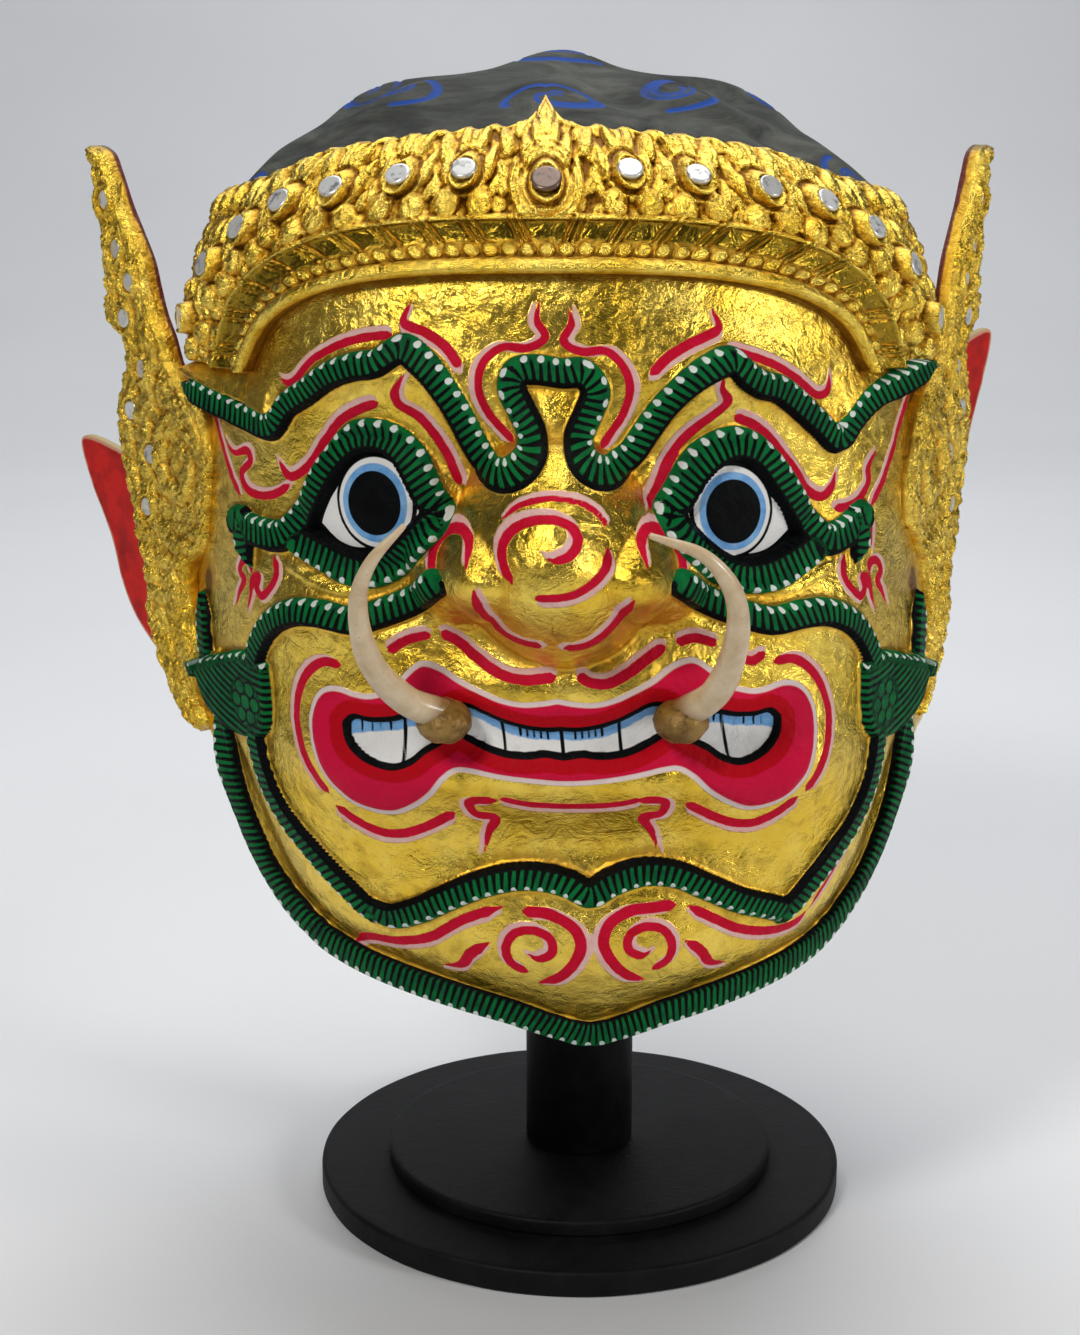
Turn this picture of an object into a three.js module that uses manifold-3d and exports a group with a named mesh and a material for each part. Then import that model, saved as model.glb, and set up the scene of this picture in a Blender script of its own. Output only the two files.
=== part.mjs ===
// A Thai khon mask of a demon, gilded and painted, on its turned stand.
// Millimetres, +Z up, the face looks along -Y, and the origin is the centre of the stand's underside.
import * as THREE from 'three';
import { mergeVertices } from 'three/addons/utils/BufferGeometryUtils.js';
import Module from 'manifold-3d';

const wasm = await Module();
wasm.setup();

// Stand
const BASE_RADIUS = 86;
const BASE_THICK = 8;
const STEP_RADIUS = 63.5;
const STEP_THICK = 5;
const POST_RADIUS = 17.5;
const EDGE_ROUND = 1.5;

// Clearance between pieces that touch, and the overlap of solids that are joined into one
const GAP = 0.35;
const SINK = 2;
const CLEAR = 1.2; // between the modelled head and what stands beside it

// Mask
const MASK_LIFT = 80; // height of the mask's own zero over the stand's underside
const AXIS_X = -7; // the mask sits a little to the side of the post
const WALL = 4.5;
const SHOULDER = 208; // height where the sides turn into the dome of hair
const DOME_RISE = 73;
const DOME_POWER = 2.1;
const SECTION_POWER = 2.25;
const CHART_RADIUS = 115; // radius of the drum that the face chart is rolled on
const HALF_TURN = Math.PI * CHART_RADIUS; // chart length from the nose to the nape
const NOSE_EDGE = 36;
const FACE_EDGE = 132;
const BAND_RISE = 2.6; // how far the green bands stand out
const BAND_HALF = 3.6;
const EYE_U = 46.5;
const EYE_V = 166;
const PUPIL_RADIUS = 3.2;

// Crown band
const CROWN_FOOT = 198; // height of its legs beside the forehead, and of its back
const CROWN_SIDE = 150; // chart distance where the leaves end and the plain back begins
const CROWN_BACK_RISE = 4;
const CROWN_EDGE_RISE = 5.5;
const CROWN_TILE_RISE = 4;
const CROWN_LEAF_RISE = 6;
const CROWN_LEAF_SWELL = 3;
const ARCH_FOOT = 182; // the rounded arch round the forehead: its foot, half width and height
const ARCH_HALF = 94.5;
const ARCH_RISE = 45.5;
const ARCH_POWER = 2.8;
const ROLL_WIDTH = 7;
const TILE_WIDTH = 6.5;
const MIRROR_RADIUS = 3.5;
const MIRROR_THICK = 1.2;
const CENTRE_MIRROR_RADIUS = 4.2;

// Ear ornaments
const EAR_ROOT_X = 101; // where the plate leaves the cheek, from the mask's axis
const EAR_ROOT_Y = -59;
const EAR_THICK = 5;
const EAR_TURN_LEFT = 50; // degrees that each plate is turned back from facing forward
const EAR_TURN_RIGHT = 63;
const EAR_MIRROR_RADIUS = 2.9;
const WING_ROOT_X = 108;
const WING_ROOT_Y = 9;
const WING_THICK = 3;
const WING_TURN = 45;

// Tusks
const TUSK_RADIUS = 4.4;
const SOCKET_RADIUS = 7.5;

// A smooth monotone curve through a few stations, as a function
function through(stations) {
  const xs = stations.map((station) => station[0]);
  const ys = stations.map((station) => station[1]);
  const last = xs.length - 1;
  const slope = [];
  for (let i = 0; i < last; i += 1) {
    slope.push((ys[i + 1] - ys[i]) / (xs[i + 1] - xs[i]));
  }
  const tangent = ys.map((_, i) => {
    if (i === 0) return slope[0];
    if (i === last) return slope[last - 1];
    if (slope[i - 1] * slope[i] <= 0) return 0;
    return (2 * slope[i - 1] * slope[i]) / (slope[i - 1] + slope[i]);
  });
  return (x) => {
    if (x <= xs[0]) return ys[0];
    if (x >= xs[last]) return ys[last];
    let i = 0;
    while (x > xs[i + 1]) i += 1;
    const width = xs[i + 1] - xs[i];
    const t = (x - xs[i]) / width;
    const rise = ys[i + 1] - ys[i];
    const a = tangent[i] * width;
    const b = tangent[i + 1] * width;
    return ys[i] + t * (a + t * (3 * rise - 2 * a - b + t * (a + b - 2 * rise)));
  };
}

// Half width, front depth and back depth of the head at a height over the mask's zero
const halfWidth = through([
  [0, 80], [20, 91], [60, 108], [85, 113], [115, 114], [150, 112], [182, 110], [SHOULDER, 107],
]);
const frontDepth = through([
  [0, 92], [20, 106], [40, 112], [85, 117], [115, 118], [182, 116], [SHOULDER, 113],
]);
const backDepth = through([
  [0, 70], [40, 80], [72, 93], [115, 109], [150, 116], [182, 117], [SHOULDER, 114],
]);

// The mask's lower edge: height against chart distance from the middle of the face
const rimHeight = through([
  [0, 6], [10, 8.5], [23, 14], [38, 18], [55, 21.5], [70, 24.5], [84, 28.5], [95, 36.5],
  [103, 46], [109, 58], [113, 69], [119, 80], [130, 88], [170, 84], [HALF_TURN, 72],
]);

// The crown band's upper edge, with the pointed leaf in the middle
const crownTop = through([
  [0, 272], [4, 268], [8, 265.5], [22, 264.4], [48, 262.3], [82, 258], [110, 250], [CROWN_SIDE, 245],
  [HALF_TURN, 236],
]);

function bell(u, v, cu, cv, ru, rv) {
  return Math.exp(-(((u - cu) / ru) ** 2) - ((v - cv) / rv) ** 2);
}

function mound(u, v, cu, cv, ru, rv, power) {
  return Math.max(0, 1 - ((u - cu) / ru) ** 2 - ((v - cv) / rv) ** 2) ** power;
}

// The modelled face: nose, nostrils, bridge, cheeks, eyes, brow, lips and chin as mounds on the head
function faceForm(u, v) {
  const a = Math.abs(u);
  let out = 26 * mound(u, v, 0, 156, 27, 31, 0.9) + 8 * bell(u, v, 0, 152, 18, 22);
  out += 13 * mound(a, v, 25, 151, 14, 15, 0.9) + 3 * bell(a, v, 27, 148, 14, 13);
  out += 6 * bell(u, v, 0, 182, 11, 14);
  out += 5 * bell(a, v, 62, 134, 26, 12) + 4 * bell(a, v, 70, 86, 20, 30);
  out += 7 * mound(a, v, 48, 167, 24, 17, 0.8) - 5 * bell(a, v, 47, 167, 26, 19);
  out += 5 * bell(a, v, 42, 201, 26, 9);
  out += 8 * bell(u, v, 0, 118, 58, 11) + 8 * bell(u, v, 0, 93, 58, 10) + 5 * bell(a, v, 58, 100, 14, 15);
  out += 7 * bell(u, v, 0, 42, 42, 18) - 3 * bell(u, v, 0, 71, 45, 8);
  return out;
}

// Sideways drift of the hand-made face: the middle line wanders by a few millimetres
function drift(v) {
  return 2 - 6.5 * Math.tanh((v - 115) / 60);
}

function domeScale(v) {
  const t = Math.min(1, Math.max(0, (v - SHOULDER) / DOME_RISE));
  return (1 - t ** DOME_POWER) ** (1 / DOME_POWER);
}

function headRadius(theta, v) {
  const s = Math.abs(Math.sin(theta)) / halfWidth(v);
  const depth = Math.cos(theta) > 0 ? frontDepth(v) : backDepth(v);
  const c = Math.abs(Math.cos(theta)) / depth;
  return domeScale(v) * (s ** SECTION_POWER + c ** SECTION_POWER) ** (-1 / SECTION_POWER);
}

// A point of the head at chart place (u, v), moved out by a horizontal distance
function headPoint(u, v, out = 0) {
  const theta = u / CHART_RADIUS;
  const radius = Math.max(0.01, headRadius(theta, v) + out);
  const x = radius * Math.sin(theta);
  const front = Math.max(0, Math.cos(theta));
  const side = Math.min(1, (x / (halfWidth(v) + 8)) ** 2);
  const shift = drift(v) * (1 - side) * Math.sqrt(front);
  return new THREE.Vector3(AXIS_X + x + shift, -radius * Math.cos(theta), MASK_LIFT + v);
}

function facePoint(u, v, out = 0) {
  return headPoint(u, v, faceForm(u, v) + out);
}

// Outward normal of the plain head at a chart place
function headNormal(u, v, out = 0) {
  const step = 1;
  const du = headPoint(u + step, v, out).sub(headPoint(u - step, v, out));
  const dv = headPoint(u, v + step, out).sub(headPoint(u, v - step, out));
  return du.cross(dv).normalize();
}

// Snail curls of the hair as a swell along the dome's normal: two rings of eight and one on top, which stand
// on a ground that lies a little lower than the dome
const CURL_GROUND = -2.7;
const CURL_TURNS = 8;
const TOP_CURL = 5.6;
function hairSwell(theta, phi) {
  const bare = SHOULDER + DOME_RISE * Math.sin(phi) - crownTop(Math.abs(theta) * CHART_RADIUS);
  const shown = Math.min(1, Math.max(0, bare / 8));
  const wave = Math.cos(CURL_TURNS * theta);
  const lift = (phi * 180) / Math.PI;
  const upper = (1.2 + 1.9 * wave) * Math.exp(-(((lift - 62) / 11) ** 2));
  const lower = (0.6 - 1.6 * wave) * Math.exp(-(((lift - 36) / 12) ** 2));
  return shown * (CURL_GROUND + upper + lower + TOP_CURL * Math.exp(-(((90 - lift) / 7) ** 2)));
}

// Solids from rings of points

function solidFrom(points, faces) {
  const vertProperties = new Float32Array(points.length * 3);
  points.forEach((point, i) => point.toArray(vertProperties, i * 3));
  const mesh = new wasm.Mesh({ numProp: 3, vertProperties, triVerts: Uint32Array.from(faces) });
  return new wasm.Manifold(mesh);
}

function solidFromGeometry(geometry) {
  const bare = geometry.index ? geometry.clone() : geometry;
  bare.deleteAttribute('normal');
  bare.deleteAttribute('uv');
  const merged = mergeVertices(bare, 1e-4);
  const mesh = new wasm.Mesh({
    numProp: 3,
    vertProperties: Float32Array.from(merged.attributes.position.array),
    triVerts: Uint32Array.from(merged.index.array),
  });
  return new wasm.Manifold(mesh);
}

function geometryFrom(solid) {
  const mesh = solid.getMesh();
  const geometry = new THREE.BufferGeometry();
  geometry.setAttribute('position', new THREE.BufferAttribute(Float32Array.from(mesh.vertProperties), 3));
  geometry.setIndex(new THREE.BufferAttribute(Uint32Array.from(mesh.triVerts), 1));
  return geometry;
}

// Faces between two rings of equal length, counter-clockwise seen from outside
function joinRings(faces, lower, upper, count) {
  for (let i = 0; i < count; i += 1) {
    const next = (i + 1) % count;
    faces.push(lower + i, lower + next, upper + next, lower + i, upper + next, upper + i);
  }
}

// A stack of rings closed by one point at the bottom and one at the top
function stackedSolid(rings, bottom, top) {
  const points = [bottom];
  const faces = [];
  const count = rings[0].length;
  rings.forEach((ring) => points.push(...ring));
  for (let i = 0; i < count; i += 1) {
    faces.push(0, 1 + ((i + 1) % count), 1 + i);
  }
  for (let k = 0; k + 1 < rings.length; k += 1) {
    joinRings(faces, 1 + k * count, 1 + (k + 1) * count, count);
  }
  const lastRing = 1 + (rings.length - 1) * count;
  points.push(top);
  for (let i = 0; i < count; i += 1) {
    faces.push(lastRing + i, lastRing + ((i + 1) % count), points.length - 1);
  }
  return solidFrom(points, faces);
}

// Chart distances of the columns round the head: close together on the nose, wide at the back
function columns(noseSteps, cheekSteps, backSteps) {
  const stretches = [
    [-NOSE_EDGE, NOSE_EDGE, noseSteps], [NOSE_EDGE, FACE_EDGE, cheekSteps],
    [FACE_EDGE, 2 * HALF_TURN - FACE_EDGE, backSteps],
    [2 * HALF_TURN - FACE_EDGE, 2 * HALF_TURN - NOSE_EDGE, cheekSteps],
  ];
  const list = stretches.flatMap(([from, to, steps]) => (
    Array.from({ length: steps }, (_, i) => from + ((to - from) * i) / steps)
  ));
  return list.map((u) => (u > HALF_TURN ? u - 2 * HALF_TURN : u));
}

// Shares of the height between the rim and the shoulder: the rows are closest at the nose and eyes
const lowShare = through([[0, 0], [0.3, 0.42], [0.85, 0.92], [1, 1]]);

const POLE_DRIFT = new THREE.Vector3(AXIS_X, 0, MASK_LIFT + SHOULDER + DOME_RISE);

// One ring of the dome at the angle phi over the shoulder, swollen along the normal
function domeRing(list, phi, swell) {
  const v = SHOULDER + DOME_RISE * Math.sin(phi);
  return list.map((u) => {
    const theta = u / CHART_RADIUS;
    const point = headPoint(u, v);
    const level = Math.cos(phi);
    const normal = new THREE.Vector3(Math.sin(theta) * level, -Math.cos(theta) * level, Math.sin(phi));
    return point.addScaledVector(normal, swell(theta, phi));
  });
}

// Rings of the head's outer face moved out by a distance, from the rim to the top
function outerRings(list, lowRows, domeRows, grow) {
  const rings = [];
  for (let k = 0; k <= lowRows; k += 1) {
    rings.push(list.map((u) => {
      const rim = rimHeight(Math.abs(u));
      return facePoint(u, rim + (SHOULDER - rim) * lowShare(k / lowRows), grow);
    }));
  }
  for (let k = 1; k < domeRows; k += 1) {
    rings.push(domeRing(list, (Math.PI / 2) * (k / domeRows), (theta, phi) => grow + hairSwell(theta, phi)));
  }
  return rings;
}

// The hollow follows the ground of the hair down
const hairHollow = (phi) => CURL_GROUND * Math.sin(phi) ** 2;

// Rings of the hollow inside: the same form, one wall thickness further in
function innerRings(list, lowRows, domeRows, inset) {
  const rings = [];
  for (let k = 0; k <= lowRows; k += 1) {
    rings.push(list.map((u) => {
      const rim = rimHeight(Math.abs(u));
      const v = rim + (SHOULDER - rim) * lowShare(k / lowRows);
      return headPoint(u, v, 0.75 * faceForm(u, v) - inset);
    }));
  }
  for (let k = 1; k < domeRows; k += 1) {
    rings.push(domeRing(list, (Math.PI / 2) * (k / domeRows), (theta, phi) => hairHollow(phi) - inset));
  }
  return rings;
}

const FACE_COLUMNS = [14, 9, 12];
const HOLLOW_COLUMNS = [7, 4, 6];
const FACE_ROWS = 16;
const DOME_ROWS = 6;
const HOLLOW_ROWS = 8;
const HOLLOW_DOME_ROWS = 4;

function hollowSolid(inset) {
  const list = columns(...HOLLOW_COLUMNS);
  const rings = innerRings(list, HOLLOW_ROWS, HOLLOW_DOME_ROWS, inset);
  const mouth = rings[0].map((point) => new THREE.Vector3(point.x, point.y, -MASK_LIFT));
  const bottom = new THREE.Vector3(AXIS_X, 0, -MASK_LIFT);
  const top = POLE_DRIFT.clone();
  top.z += hairHollow(Math.PI / 2) - inset;
  return stackedSolid([mouth, ...rings], bottom, top);
}

function headSolid(grow = 0) {
  const list = columns(...FACE_COLUMNS);
  const rings = outerRings(list, FACE_ROWS, DOME_ROWS, grow);
  const bottom = new THREE.Vector3(AXIS_X, 0, MASK_LIFT + rimHeight(0));
  const top = POLE_DRIFT.clone();
  top.z += grow + hairSwell(0, Math.PI / 2);
  return stackedSolid(rings, bottom, top);
}

// A flat-topped band laid on the face along a chart line, with its foot sunk in the wall
function bandSolid(line, steps, halfAt, riseAt) {
  const places = line.map(([u, v]) => new THREE.Vector3(u, v, 0));
  const path = new THREE.CatmullRomCurve3(places, false, 'centripetal');
  const centres = path.getSpacedPoints(steps);
  const points = [];
  const faces = [];
  centres.forEach((centre, i) => {
    const before = centres[Math.max(0, i - 1)];
    const after = centres[Math.min(steps, i + 1)];
    const across = new THREE.Vector2(after.y - before.y, before.x - after.x).normalize();
    const t = i / steps;
    const half = halfAt(t);
    const right = [centre.x + across.x * half, centre.y + across.y * half];
    const left = [centre.x - across.x * half, centre.y - across.y * half];
    points.push(facePoint(...left, -SINK), facePoint(...left, riseAt(t)));
    points.push(facePoint(...right, riseAt(t)), facePoint(...right, -SINK));
  });
  for (let i = 0; i < steps; i += 1) {
    joinRings(faces, 4 * i, 4 * (i + 1), 4);
  }
  const end = 4 * steps;
  faces.push(0, 2, 1, 0, 3, 2, end, end + 1, end + 2, end, end + 2, end + 3);
  return solidFrom(points, faces);
}

function mirrored(line) {
  return line.map(([u, v]) => [-u, v]);
}

// Chart lines of the bands, right half of the face
const BROW_LINE = [
  [0, 203.5], [9, 202.5], [11, 197.5], [7.5, 191], [5.4, 185.5], [8.5, 180], [14.5, 178], [20, 182],
  [24, 189.5], [29.5, 199], [35, 204.6], [41.5, 206.8], [52, 202], [62, 196.7], [73, 189.5],
  [82, 183.5], [92.5, 188], [104, 190.8], [122, 193.5],
];
const LID_LINE = [
  [100, 157.5], [86, 155.5], [77.5, 156], [71, 159.5], [64, 168], [58, 177], [49.5, 183],
  [41.5, 181.7], [34, 174.5], [28.5, 166.5], [33, 158], [42, 151.5], [52, 148.6], [63, 151], [72, 154],
];
const CHEEK_LINE = [
  [28, 149.5], [36, 142], [46, 136.2], [56, 134.6], [68, 135.8], [80, 131.2], [88, 123], [92, 112],
  [92.5, 98], [88.5, 83], [80, 69], [70, 58.5], [60, 51.5],
];
const CHIN_LINE = [
  [0, 58.8], [6, 62.3], [13.5, 64.4], [22, 63.6], [31.5, 60], [41, 55.3], [50.5, 51.6], [60, 49.5],
];
const RIM_LINE = [
  [0, 10.3], [9.5, 12.8], [23, 18.3], [38, 22.3], [55, 25.8], [70, 28.8], [84, 33], [96, 41.5],
  [104, 51], [109.5, 62], [114, 73], [119, 84.5], [124, 97], [129, 112], [136, 130],
];
const LEAF_OUTLINE = [[84, 118], [96, 119.5], [110, 115.5], [127, 109.5], [115, 98], [100, 93.5], [86, 98]];

const even = (value) => () => value;
const pointed = (value, tip) => (t) => value * Math.min(1, 0.12 + (1 - t) / tip);

const reversed = (at) => (t) => at(1 - t);

function bandPair(line, steps, halfAt, riseAt) {
  const other = mirrored(line).reverse();
  return [
    bandSolid(line, steps, halfAt, riseAt),
    bandSolid(other, steps, reversed(halfAt), reversed(riseAt)),
  ];
}

// The pointed cheek leaf, a flat raised piece with its tip clear of the cheek
function leafSolid(side) {
  const shape = LEAF_OUTLINE.map(([u, v]) => [side * u, v]);
  const ring = side > 0 ? shape.reverse() : shape;
  const lift = ([u]) => BAND_RISE + 4 * Math.max(0, (Math.abs(u) - 100) / 27);
  const low = ring.map((place) => facePoint(...place, -SINK));
  const high = ring.map((place) => facePoint(...place, lift(place)));
  const middle = [side * 101, 106];
  return stackedSolid([low, high], facePoint(...middle, -SINK), facePoint(...middle, lift(middle)));
}

function maskShell() {
  const browRise = (t) => BAND_RISE + 4 * Math.max(0, t - 0.8) / 0.2;
  const bands = [
    ...bandPair(BROW_LINE, 27, pointed(BAND_HALF, 0.06), browRise),
    ...bandPair(LID_LINE, 15, even(BAND_HALF - 0.3), even(BAND_RISE)),
    ...bandPair(CHEEK_LINE, 14, even(BAND_HALF), even(BAND_RISE)),
    ...bandPair(CHIN_LINE, 6, even(BAND_HALF), even(BAND_RISE)),
    ...bandPair(RIM_LINE, 13, even(BAND_HALF), even(BAND_RISE)),
    leafSolid(1),
    leafSolid(-1),
  ];
  let solid = headSolid();
  bands.forEach((band) => {
    solid = solid.add(band);
  });
  solid = solid.subtract(hollowSolid(WALL));
  [-1, 1].forEach((side) => {
    const peg = pegGeometry(side * EYE_U, EYE_V, PUPIL_RADIUS, -4 * WALL, 4 * WALL, faceForm(EYE_U, EYE_V));
    solid = solid.subtract(solidFromGeometry(peg));
  });
  return largestPiece(solid);
}

// A round peg standing on the head's normal, from one height to another
function pegGeometry(u, v, radius, from, to, out) {
  const peg = new THREE.CylinderGeometry(radius, radius, to - from, 8);
  const normal = headNormal(u, v, out);
  const turn = new THREE.Quaternion().setFromUnitVectors(new THREE.Vector3(0, 1, 0), normal);
  peg.applyQuaternion(turn);
  const place = headPoint(u, v, out).addScaledVector(normal, (from + to) / 2);
  peg.translate(place.x, place.y, place.z);
  return peg;
}

// Crown band

// Distance outward from the rounded arch round the forehead, in chart millimetres
function archDistance(u, v) {
  const a = Math.abs(u) / ARCH_HALF;
  const b = Math.max(0, v - ARCH_FOOT) / ARCH_RISE;
  const level = (a ** ARCH_POWER + b ** ARCH_POWER) ** (1 / ARCH_POWER);
  const slopeU = (a / level) ** (ARCH_POWER - 1) / ARCH_HALF;
  const slopeV = (b / level) ** (ARCH_POWER - 1) / ARCH_RISE;
  return (level - 1) / Math.hypot(slopeU, slopeV);
}

function crownFoot(u) {
  const a = Math.min(1, Math.abs(u) / ARCH_HALF);
  const arch = ARCH_FOOT + ARCH_RISE * (1 - a ** ARCH_POWER) ** (1 / ARCH_POWER);
  return Math.max(CROWN_FOOT, arch);
}

// Chart places of the round mirrors on the right half, the middle one first
const CROWN_MIRRORS = [
  [0, 250.6], [25, 253], [45, 251.4], [66, 248], [84, 244], [98.5, 236.5], [112, 226], [127, 210],
];

function crownRise(u, v) {
  const out = archDistance(u, v);
  if (Math.abs(u) > CROWN_SIDE) {
    return CROWN_BACK_RISE;
  }
  if (out < ROLL_WIDTH) {
    return CROWN_EDGE_RISE;
  }
  if (out < ROLL_WIDTH + TILE_WIDTH) {
    return CROWN_TILE_RISE;
  }
  let swell = 0;
  CROWN_MIRRORS.forEach(([mu, mv]) => {
    swell = Math.max(swell, Math.min(1, 1.3 * mound(Math.abs(u), v, mu, mv, 9, 16, 0.6)));
  });
  return CROWN_LEAF_RISE + CROWN_LEAF_SWELL * swell;
}

const CROWN_FRONT_COLUMNS = 52;
const CROWN_BACK_COLUMNS = 12;
const CROWN_ROWS = 7;

function crownColumns() {
  const list = [];
  for (let i = 0; i < CROWN_FRONT_COLUMNS; i += 1) {
    list.push(-CROWN_SIDE + (2 * CROWN_SIDE * i) / CROWN_FRONT_COLUMNS);
  }
  for (let i = 0; i < CROWN_BACK_COLUMNS; i += 1) {
    list.push(CROWN_SIDE + (2 * (HALF_TURN - CROWN_SIDE) * i) / CROWN_BACK_COLUMNS);
  }
  return list.map((u) => (u > HALF_TURN ? u - 2 * HALF_TURN : u));
}

function crownRingAt(list, share, riseAt) {
  return list.map((u) => {
    const foot = crownFoot(u);
    const v = foot + (crownTop(Math.abs(u)) - foot) * share;
    return headPoint(u, v, riseAt(u, v));
  });
}

// A mirror lies on the leaf, wherever the arch lets the leaf rise
function crownSeat([u, v], side) {
  const radius = u === 0 ? CENTRE_MIRROR_RADIUS : MIRROR_RADIUS;
  return { u: side * u, v, radius, out: crownRise(u, v) };
}

const crownSeats = CROWN_MIRRORS.flatMap((place) => {
  const sides = place[0] === 0 ? [1] : [-1, 1];
  return sides.map((side) => crownSeat(place, side));
});

function crownBand() {
  const list = crownColumns();
  const within = even(-SINK);
  const rings = [crownRingAt(list, 1, within), crownRingAt(list, 0, within)];
  for (let k = 0; k <= CROWN_ROWS; k += 1) {
    rings.push(crownRingAt(list, k / CROWN_ROWS, crownRise));
  }
  const points = rings.flat();
  const faces = [];
  const count = list.length;
  for (let k = 0; k < rings.length; k += 1) {
    joinRings(faces, k * count, ((k + 1) % rings.length) * count, count);
  }
  return largestPiece(solidFrom(points, faces).subtract(headSolid(GAP)));
}

// A solid a little larger than the dressed head, which keeps the ear plates and sockets clear of it
function clearanceSolid() {
  const list = columns(...FACE_COLUMNS);
  const lowest = list.map((u) => rimHeight(Math.abs(u)) - 3);
  const rings = [];
  const rows = 24;
  const reach = CROWN_LEAF_RISE + CROWN_LEAF_SWELL + CLEAR;
  for (let k = 0; k <= rows; k += 1) {
    rings.push(list.map((u, i) => {
      const v = lowest[i] + ((crownTop(Math.abs(u)) - lowest[i]) * k) / rows;
      const under = v < CROWN_FOOT - 6;
      return under ? facePoint(u, v, BAND_RISE + CLEAR) : headPoint(u, v, reach);
    }));
  }
  const bottom = new THREE.Vector3(AXIS_X, 0, MASK_LIFT);
  return stackedSolid(rings, bottom, POLE_DRIFT.clone());
}

// Ear ornaments

// Outline of the gilded plate: distance out along the plate, and height
const EAR_OUTLINE = [
  [10, 87], [20, 92], [27, 102], [33, 112], [36, 124], [37, 133], [39, 140], [41.5, 149], [44, 158],
  [47, 168], [48.5, 179], [45.5, 187], [42.5, 194], [43, 199.5], [49, 203], [53.5, 207.5], [51.5, 214],
  [54, 222], [53, 230], [57, 239], [56.5, 248], [61, 256], [52.5, 254.5], [48.5, 249], [43, 239.5],
  [37.5, 232], [32, 224], [29, 216], [26, 209], [22, 203], [18, 195], [12, 189.5], [4, 184.5],
  [0, 177], [-3, 170], [-6, 162], [-4, 153], [4, 143], [13, 136], [12, 122], [9, 110], [12, 98],
  [6, 91],
];
const EAR_MIRRORS = [[50, 241], [45, 227], [38, 218], [42, 207], [33, 193], [40, 180], [30, 168], [33, 152]];
const WING_OUTLINE = [
  [0, 148], [20, 151], [45, 155], [73.5, 158], [69, 143], [63.5, 134], [58.5, 125], [54, 112],
  [47.5, 101.5], [37, 92.5], [24, 86], [10, 90], [0, 100],
];

const EAR_SIDES = [
  { side: -1, name: 'left', turn: EAR_TURN_LEFT, wingLift: 0, wingReach: 1 },
  { side: 1, name: 'right', turn: EAR_TURN_RIGHT, wingLift: 38, wingReach: 0.62 },
];

// Matrix that stands an outline up on its root line and turns it back
function plateMatrix(side, rootX, rootY, turn) {
  const angle = THREE.MathUtils.degToRad(turn);
  const along = new THREE.Vector3(side * Math.cos(angle), Math.sin(angle), 0);
  const up = new THREE.Vector3(0, 0, 1);
  const face = new THREE.Vector3().crossVectors(along, up);
  return new THREE.Matrix4().makeBasis(along, up, face).setPosition(AXIS_X + side * rootX, rootY, MASK_LIFT);
}

function plateSolid(outline, thick, matrix, side) {
  const shape = new THREE.Shape(outline.map(([s, v]) => new THREE.Vector2(s, v)));
  const geometry = new THREE.ExtrudeGeometry(shape, { depth: thick, bevelEnabled: false, steps: 1 });
  // The outline's face looks forward on the right side and backward on the left
  geometry.translate(0, 0, side > 0 ? -thick : 0);
  geometry.applyMatrix4(matrix);
  return solidFromGeometry(geometry);
}

// A round peg standing on a plate's front face, from one height to another
function platePeg([s, v], radius, from, to, matrix, side) {
  const peg = new THREE.CylinderGeometry(radius, radius, to - from, 7);
  peg.rotateX(Math.PI / 2);
  peg.translate(s, v, (side > 0 ? 1 : -1) * ((from + to) / 2));
  peg.applyMatrix4(matrix);
  return peg;
}

function earFlame(ear, keepOut) {
  const matrix = plateMatrix(ear.side, EAR_ROOT_X, EAR_ROOT_Y, ear.turn);
  return largestPiece(plateSolid(EAR_OUTLINE, EAR_THICK, matrix, ear.side).subtract(keepOut));
}

function earWing(ear, keepOut) {
  const matrix = plateMatrix(ear.side, WING_ROOT_X, WING_ROOT_Y, WING_TURN);
  const outline = WING_OUTLINE.map(([s, v]) => [s * ear.wingReach, v + ear.wingLift]);
  return largestPiece(plateSolid(outline, WING_THICK, matrix, ear.side).subtract(keepOut));
}

// The main piece that is left after a cut
function largestPiece(solid) {
  const pieces = solid.decompose();
  return pieces.reduce((best, piece) => (piece.volume() > best.volume() ? piece : best));
}

// Tusks and their sockets

const TUSK_ROOT = [31.5, -127, 113];
const LEFT_TUSK = [
  TUSK_ROOT, [41, -133, 118.5], [50, -142, 132], [52, -148, 149], [48.5, -151, 159], [40, -151, 168.5],
];
const RIGHT_TUSK = [
  TUSK_ROOT, [40, -134, 121], [44.5, -143, 138], [43, -148, 150.5], [35.5, -151, 160.5], [21.5, -151, 166],
];

function tuskSolid(side, grow) {
  const path = side < 0 ? LEFT_TUSK : RIGHT_TUSK;
  const curve = new THREE.CatmullRomCurve3(
    path.map(([x, y, v]) => new THREE.Vector3(AXIS_X + side * x, y, MASK_LIFT + v)),
  );
  const steps = 10;
  const sides = 8;
  const rings = [];
  for (let k = 0; k <= steps; k += 1) {
    const t = k / steps;
    const centre = curve.getPointAt(t);
    const along = curve.getTangentAt(t);
    const sideways = new THREE.Vector3(0, 1, 0).cross(along).normalize();
    const third = along.clone().cross(sideways);
    const radius = grow + TUSK_RADIUS * (1 - 0.82 * t ** 1.6);
    const ring = [];
    for (let i = 0; i < sides; i += 1) {
      const angle = (2 * Math.PI * i) / sides;
      const point = centre.clone().addScaledVector(sideways, radius * Math.cos(angle));
      ring.push(point.addScaledVector(third, radius * Math.sin(angle)));
    }
    rings.push(ring);
  }
  return stackedSolid(rings, curve.getPointAt(0), curve.getPointAt(1));
}

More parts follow.
